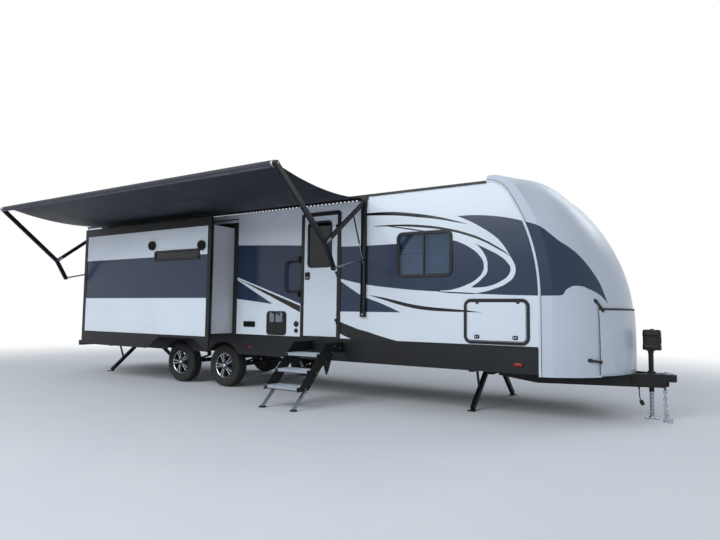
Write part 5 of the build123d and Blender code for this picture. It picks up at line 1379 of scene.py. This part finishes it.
def dress_cover():
    """Rubber draw latches over the lift-off cover's side edges, and their anchors on the cap."""
    straps = bmesh.new()
    anchors = bmesh.new()
    for side in (-1, 1):
        for start, end in LATCHES:
            a = Vector((start[0], side * abs(start[1]), start[2]))
            b = Vector((end[0], side * abs(end[1]), end[2]))
            along = (b - a).normalized()
            out = Vector((0.72, side * 0.69, 0.0)).normalized()
            across = along.cross(out).normalized()
            rings = []
            thick = out * STRAP_HALF_THICK
            for share, half, lift in STRAP_SECTIONS:
                place = a.lerp(b, share) + out * lift
                rings.append([place - across * half - thick, place + across * half - thick,
                              place + across * half * 0.8 + thick, place - across * half * 0.8 + thick])
            loft(straps, rings)
            turned(anchors, a + out * 0.001, out, ((0.0, 0.018), (0.004, 0.018), (0.006, 0.010)), 16)
    piece("cover_straps", straps, "gas_locker_cover", SEAL_RUBBER_AND_HOLE_SHADE, bevel=0.0015)
    piece("strap_anchors", anchors, "caravan", BLACK_ABS)


dress_cover()


# The cap's face is drawn from an axis across the caravan: its sweep in degrees, its half width, how far it
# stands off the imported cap, and how often it is evened out
CAP_AXIS = Vector((-1.72, 0.0, 1.30))
CAP_SWEEP = (3.4, 89.0)
CAP_EDGE = 1.188
CAP_PROUD = 0.0015
CAP_ROUNDS = 4


def dress_cap_face():
    """The cap's moulded outer face as one evenly drawn skin, so that its outline and gloss run smooth."""
    data = nodes["front_cap"].data
    skin = BVHTree.FromPolygons([v.co for v in data.vertices], [p.vertices for p in data.polygons])
    angles = [math.radians(angle) for angle in spread(*CAP_SWEEP, 64)]
    ys = [CAP_EDGE * math.sin(turn) for turn in spread(-math.pi / 2, math.pi / 2, 73)]
    reach = []
    for angle in angles:
        way = Vector((math.cos(angle), 0, math.sin(angle)))
        row = []
        for y in ys:
            axis = CAP_AXIS + Vector((0, y, 0))
            row.append((skin.ray_cast(axis + way * 4, -way)[0] - axis).length)
        reach.append(row)
    for _ in range(CAP_ROUNDS):
        evened = [row[:] for row in reach]
        for a in range(1, len(angles) - 1):
            for b in range(1, len(ys) - 1):
                evened[a][b] = (0.4 * reach[a][b] + 0.2 * (reach[a - 1][b] + reach[a + 1][b])
                                + 0.1 * (reach[a][b - 1] + reach[a][b + 1]))
        reach = evened
    rows = []
    for angle, row in zip(angles, reach):
        rows.append([(CAP_AXIS.x + (far + CAP_PROUD) * math.cos(angle), y,
                      CAP_AXIS.z + (far + CAP_PROUD) * math.sin(angle)) for y, far in zip(ys, row)])
    face = bmesh.new()
    strip(face, rows)
    made = piece("cap_outer_face", face, "caravan", CAP_SKIN, sharp=80)
    made.modifiers.new("even_skin", "SUBSURF").render_levels = 1


dress_cap_face()


# The cover's creases: place across, height, and how far each fades out to the side and to the middle
CREASE_Y = 0.655
CREASE_RISE = 0.014
CREASE_SIDE = 0.170
CREASE_MIDDLE = 0.320
COVER_SKIN = 0.006
TOP_SEAL = ((-0.008, 0.000), (0.001, 0.000), (0.003, 0.009), (0.001, 0.020), (-0.008, 0.020))
END_SEAL = ((-0.008, 0.0), (-0.003, 0.0), (-0.003, 0.0045), (-0.008, 0.0045))


def dress_cover_shell():
    """The lift-off cover: a moulded shell creased down each side, over a black seal along its top and ends."""
    low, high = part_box("gas_cover")
    data = nodes["gas_cover"].data
    skin = BVHTree.FromPolygons([v.co for v in data.vertices], [p.vertices for p in data.polygons])

    def face(y, z):
        hit = skin.ray_cast(Vector((0.5, y, z)), Vector((-1, 0, 0)))[0]
        off = abs(y) - CREASE_Y
        rise = max(0.0, 1.0 - (off / CREASE_SIDE if off > 0 else -off / CREASE_MIDDLE))
        return hit.x + CREASE_RISE * rise * min(1.0, (high.z - z) / 0.25, (z - low.z) / 0.05 + 0.3)

    edge_in = 0.0015
    half = [0.0] + spread(0.030, CREASE_Y - 0.004, 20) + [CREASE_Y] + spread(CREASE_Y + 0.004, high.y - 0.012, 6)
    ys = sorted({-y for y in half} | set(half) | {high.y - edge_in, low.y + edge_in})
    zs = [low.z + edge_in] + spread(low.z + 0.012, high.z - 0.012, 26) + [high.z - edge_in]
    rows = []
    for z in zs:
        row = []
        for y in ys:
            rim = min(y - low.y, high.y - y, z - low.z, high.z - z) < 0.005
            row.append((face(y, z) - (0.004 if rim else 0.0), y, z))
        rows.append(row)
    shell = bmesh.new()
    strip(shell, rows)
    made = piece("gas_cover_shell", shell, "gas_locker_cover", CAP_SKIN, replaces=("gas_cover",))
    wall = made.modifiers.new("shell_thickness", "SOLIDIFY")
    wall.thickness = COVER_SKIN
    wall.offset = -1.0
    seal = bmesh.new()
    loft(seal, [[(face(y, high.z - 0.004) + out, y, high.z + up) for out, up in TOP_SEAL] for y in ys])
    for y, way in ((low.y, -1), (high.y, 1)):
        inner = y - way * 0.003
        loft(seal, [[(face(inner, z) + out, y + way * past, z) for out, past in END_SEAL] for z in zs])
    piece("gas_cover_seal", seal, "gas_locker_cover", SEAL_RUBBER_AND_HOLE_SHADE)


dress_cover_shell()


def beam(mesh, x, start, end, thick, width):
    """A flat bar in an upright plane across the caravan, between two (y, z) points."""
    a, b = Vector((x, *start)), Vector((x, *end))
    across = Vector((1, 0, 0)).cross((b - a).normalized()) * width / 2
    side = Vector((thick / 2, 0, 0))
    loft(mesh, [[p - side - across, p + side - across, p + side + across, p - side + across] for p in (a, b)])


# The awning's arms: places along the wall; then, in the plane of an arm, points (across, height)
ARM_XS = (-3.544, -9.820)
ELBOW = (-2.176, 2.177)
HEEL = (-1.990, 1.862)
ROLLER = (-3.176, 3.003)
ARM_TOP = (-1.245, 2.870)
ARM_LOW = (-1.245, 2.030)
STRUT_TOP = (-1.514, 2.624)
STRUT_FOOT = (-1.250, 1.990)
# The wall channel's width, depth and foot
CHANNEL = (0.078, 0.042, 1.215)
# Bars of an arm: from, to, thickness along the wall, and width
ARM_BARS = ((ARM_TOP, ELBOW, 0.034, 0.060), (HEEL, ELBOW, 0.040, 0.066), (ELBOW, ROLLER, 0.044, 0.068))
# Pivots of an arm: place, radius, and reach to each side
ARM_PIVOTS = ((ELBOW, 0.034, 0.026), (HEEL, 0.034, 0.024), (ARM_TOP, 0.030, 0.024), (ROLLER, 0.036, 0.024))
ARM_BOLT = ((0.0, 0.012), (0.006, 0.012), (0.007, 0.009))
LAMP_CHIPS = 88


def dress_arms():
    """Wall channels with feet and heads, pitched arms with knuckles, push rods and struts, and the lamp strip."""
    black = bmesh.new()
    bright = bmesh.new()
    thin = bmesh.new()
    width, depth, foot = CHANNEL
    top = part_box("awning_rail")[0].z
    for x in ARM_XS:
        block(black, (x - width / 2, WALL - depth * 0.4, foot), (x + width / 2, WALL, top))
        for flange in (x - width / 2 + 0.004, x + width / 2 - 0.004):
            block(black, (flange - 0.004, WALL - depth, foot), (flange + 0.004, WALL - depth * 0.3, top))
        for start, end in ((foot, foot + 0.070), (top - 0.110, top - 0.002)):
            block(black, (x - width / 2 - 0.004, WALL - depth - 0.003, start), (x + width / 2 + 0.004, WALL, end))
        for start, end, thick, wide in ARM_BARS:
            beam(black, x, start, end, thick, wide)
        for (y, z), radius, reach in ARM_PIVOTS:
            turned(black, (x - reach, y, z), (1, 0, 0),
                   ((0.0, radius * 0.9), (0.003, radius), (2 * reach - 0.003, radius), (2 * reach, radius * 0.9)), 28)
            for side in (-1, 1):
                turned(thin, (x + side * reach, y, z), (side, 0, 0), ARM_BOLT, 6)
        knuckle = Vector(ELBOW).lerp(Vector(ARM_TOP), 0.10)
        beam(bright, x, Vector(ELBOW).lerp(Vector(ARM_TOP), 0.02), knuckle, 0.052, 0.040)
        rod(thin, (x, *ARM_LOW), (x, *HEEL), 0.015, sides=18)
        sleeve = Vector((x, *STRUT_TOP)).lerp(Vector((x, *STRUT_FOOT)), 0.58)
        rod(black, (x, *STRUT_TOP), sleeve, 0.0105, sides=18)
        rod(thin, sleeve, (x, *STRUT_FOOT), 0.005, sides=14)
        turned(bright, (x, WALL - depth - 0.003, foot + 0.036), (0, -1, 0), ARM_BOLT, 6)
    piece("awning_arm_bars", black, "caravan", BLACK_ALUMINIUM, bevel=0.003, replaces=("awning_arms",))
    piece("awning_knuckles", bright, "caravan", CLEAR_ALUMINIUM, bevel=0.002)
    piece("awning_push_rods", thin, "caravan", CLEAR_ALUMINIUM)
    backing = bmesh.new()
    chips = bmesh.new()
    block(backing, (ARM_XS[1] + 0.02, WALL - 0.034, top - 0.016), (ARM_XS[0] - 0.06, WALL - 0.016, top - 0.001))
    for x in spread(ARM_XS[1] + 0.07, ARM_XS[0] - 0.12, LAMP_CHIPS):
        block(chips, (x - 0.014, WALL - 0.037, top - 0.016), (x + 0.014, WALL - 0.028, top - 0.004))
    piece("lamp_strip_backing", backing, "caravan", BLACK_ABS)
    piece("lamp_strip_lenses", chips, "caravan", LAMP_SILICONE, bevel=0.001)


dress_arms()


# Roof

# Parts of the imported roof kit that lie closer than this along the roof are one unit
ROOF_KIT_SPACING = 1.2
# Up a shroud: share of its height, and how far its sides are drawn in
SHROUD_SECTIONS = ((0.0, 0.0), (0.12, 0.0), (0.2, 0.012), (0.75, 0.045), (0.93, 0.075), (1.0, 0.13))
TALL_UNIT = 0.15
LOUVRES = 9


def dress_roof():
    """A moulded shroud over each roof unit: sloped sides, a crowned top, and louvres in the ends of a tall one."""
    shell = bmesh.new()
    louvres = bmesh.new()
    groups = []
    for vertex in sorted((v.co for v in nodes["roof_kit"].data.vertices), key=lambda at: at.x):
        if groups and vertex.x - groups[-1][1] < ROOF_KIT_SPACING:
            near = groups[-1]
            near[1:] = [vertex.x, max(near[2], vertex.y), max(near[3], vertex.z)]
        else:
            groups.append([vertex.x, vertex.x, vertex.y, vertex.z])
    roof_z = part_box("roof_panel")[1].z - 0.012
    for x0, x1, half, top in groups:
        rings = []
        tall = top - roof_z
        for share, shrink in SHROUD_SECTIONS:
            outline = rounded(x0 + shrink, x1 - shrink, -half + shrink, half - shrink, 0.07 + shrink * 0.5, 5)
            rings.append([(x, y, roof_z + share * tall) for x, y in outline])
        loft(shell, rings)
        if tall > TALL_UNIT:
            for at in range(LOUVRES):
                z = roof_z + 0.06 + at * 0.018
                for x in (x0 + 0.020, x1 - 0.032):
                    block(louvres, (x, -half + 0.12, z), (x + 0.012, half - 0.12, z + 0.007))
    piece("roof_unit_shrouds", shell, "caravan", WHITE_ABS, bevel=0.004, replaces=("roof_kit",))
    piece("roof_unit_louvres", louvres, "caravan", BLACK_ABS)


dress_roof()


FLOOR_CENTRE = Vector((-5.0, -1.0, -0.002))
FLOOR_HALF = 70
# From here to there, outward from the floor's centre, the floor goes over into white
SHADOW_REACH = (7.0, 15.0)


def seen_white(tree):
    """1 for the rays that are shown the white backdrop: the camera's own, and mirrored and passed ones."""
    path = add(tree, "LightPath")
    return either(tree, path.outputs["Is Camera Ray"], path.outputs["Is Glossy Ray"],
                  path.outputs["Is Transmission Ray"])


def stage_floor():
    """A pale floor that keeps the caravan's shadow near it and goes over into the white backdrop."""
    made, tree, shader, place = start("pale_studio_floor", Roughness=0.85)
    colour = clouded(tree, place, 900, linear("e6e8ea"), linear("e1e3e6"), 0.5)[0]
    tree.links.new(colour, shader.inputs["Base Color"])
    distance = add(tree, "VectorMath", {0: place}, operation="LENGTH")
    far = add(tree, "MapRange", {0: distance.outputs["Value"], 1: SHADOW_REACH[0], 2: SHADOW_REACH[1]},
              interpolation_type="SMOOTHSTEP")
    white = add(tree, "Emission", {"Color": linear("ffffff"), "Strength": 1.0})
    shown = both(tree, far.outputs[0], seen_white(tree))
    blend = add(tree, "MixShader", {0: shown, 1: shader.outputs[0], 2: white.outputs[0]})
    tree.links.new(blend.outputs[0], tree.nodes["Material Output"].inputs["Surface"])
    mesh = bmesh.new()
    bmesh.ops.create_grid(mesh, x_segments=1, y_segments=1, size=FLOOR_HALF)
    data = bpy.data.meshes.new("studio_floor")
    mesh.to_mesh(data)
    mesh.free()
    data.materials.append(made)
    floor = bpy.data.objects.new("studio_floor", data)
    floor.location = FLOOR_CENTRE
    bpy.context.scene.collection.objects.link(floor)


stage_floor()


WORLD_STRENGTH = 0.48


def light_world():
    """Soft bluish light from all round, and a white backdrop."""
    world = bpy.data.worlds.new("studio_world")
    world.use_nodes = True
    tree = world.node_tree
    soft = tree.nodes["Background"]
    soft.inputs["Color"].default_value = linear("d9e2ee")
    soft.inputs["Strength"].default_value = WORLD_STRENGTH
    white = add(tree, "Background", {"Color": linear("ffffff"), "Strength": 1.0})
    blend = add(tree, "MixShader", {0: seen_white(tree), 1: soft.outputs[0], 2: white.outputs[0]})
    tree.links.new(blend.outputs[0], tree.nodes["World Output"].inputs["Surface"])
    bpy.context.scene.world = world


light_world()

LAMPS = (
    # name, place, aims at, width, power
    ("key_softbox", (-8.0, -16.0, 10.0), (-4.5, -1.2, 1.4), 10.0, 1650.0),
    ("front_softbox", (5.0, -13.0, 7.0), (-1.5, -1.0, 1.4), 8.0, 210.0),
    ("road_side_softbox", (4.0, 13.0, 12.0), (-5.0, 1.2, 1.5), 8.0, 620.0),
)
LAMP_TINT = (0.92, 0.96, 1.0)


def hang_lamps():
    """Square area lamps, each turned to the point that it aims at."""
    for name, at, aim, width, power in LAMPS:
        lamp = bpy.data.lights.new(name, "AREA")
        lamp.energy = power
        lamp.size = width
        lamp.color = LAMP_TINT
        holder = bpy.data.objects.new(name, lamp)
        bpy.context.scene.collection.objects.link(holder)
        holder.location = at
        holder.rotation_euler = (Vector(aim) - Vector(at)).to_track_quat("-Z", "Y").to_euler()


hang_lamps()

bpy.context.scene.view_settings.view_transform = "Standard"
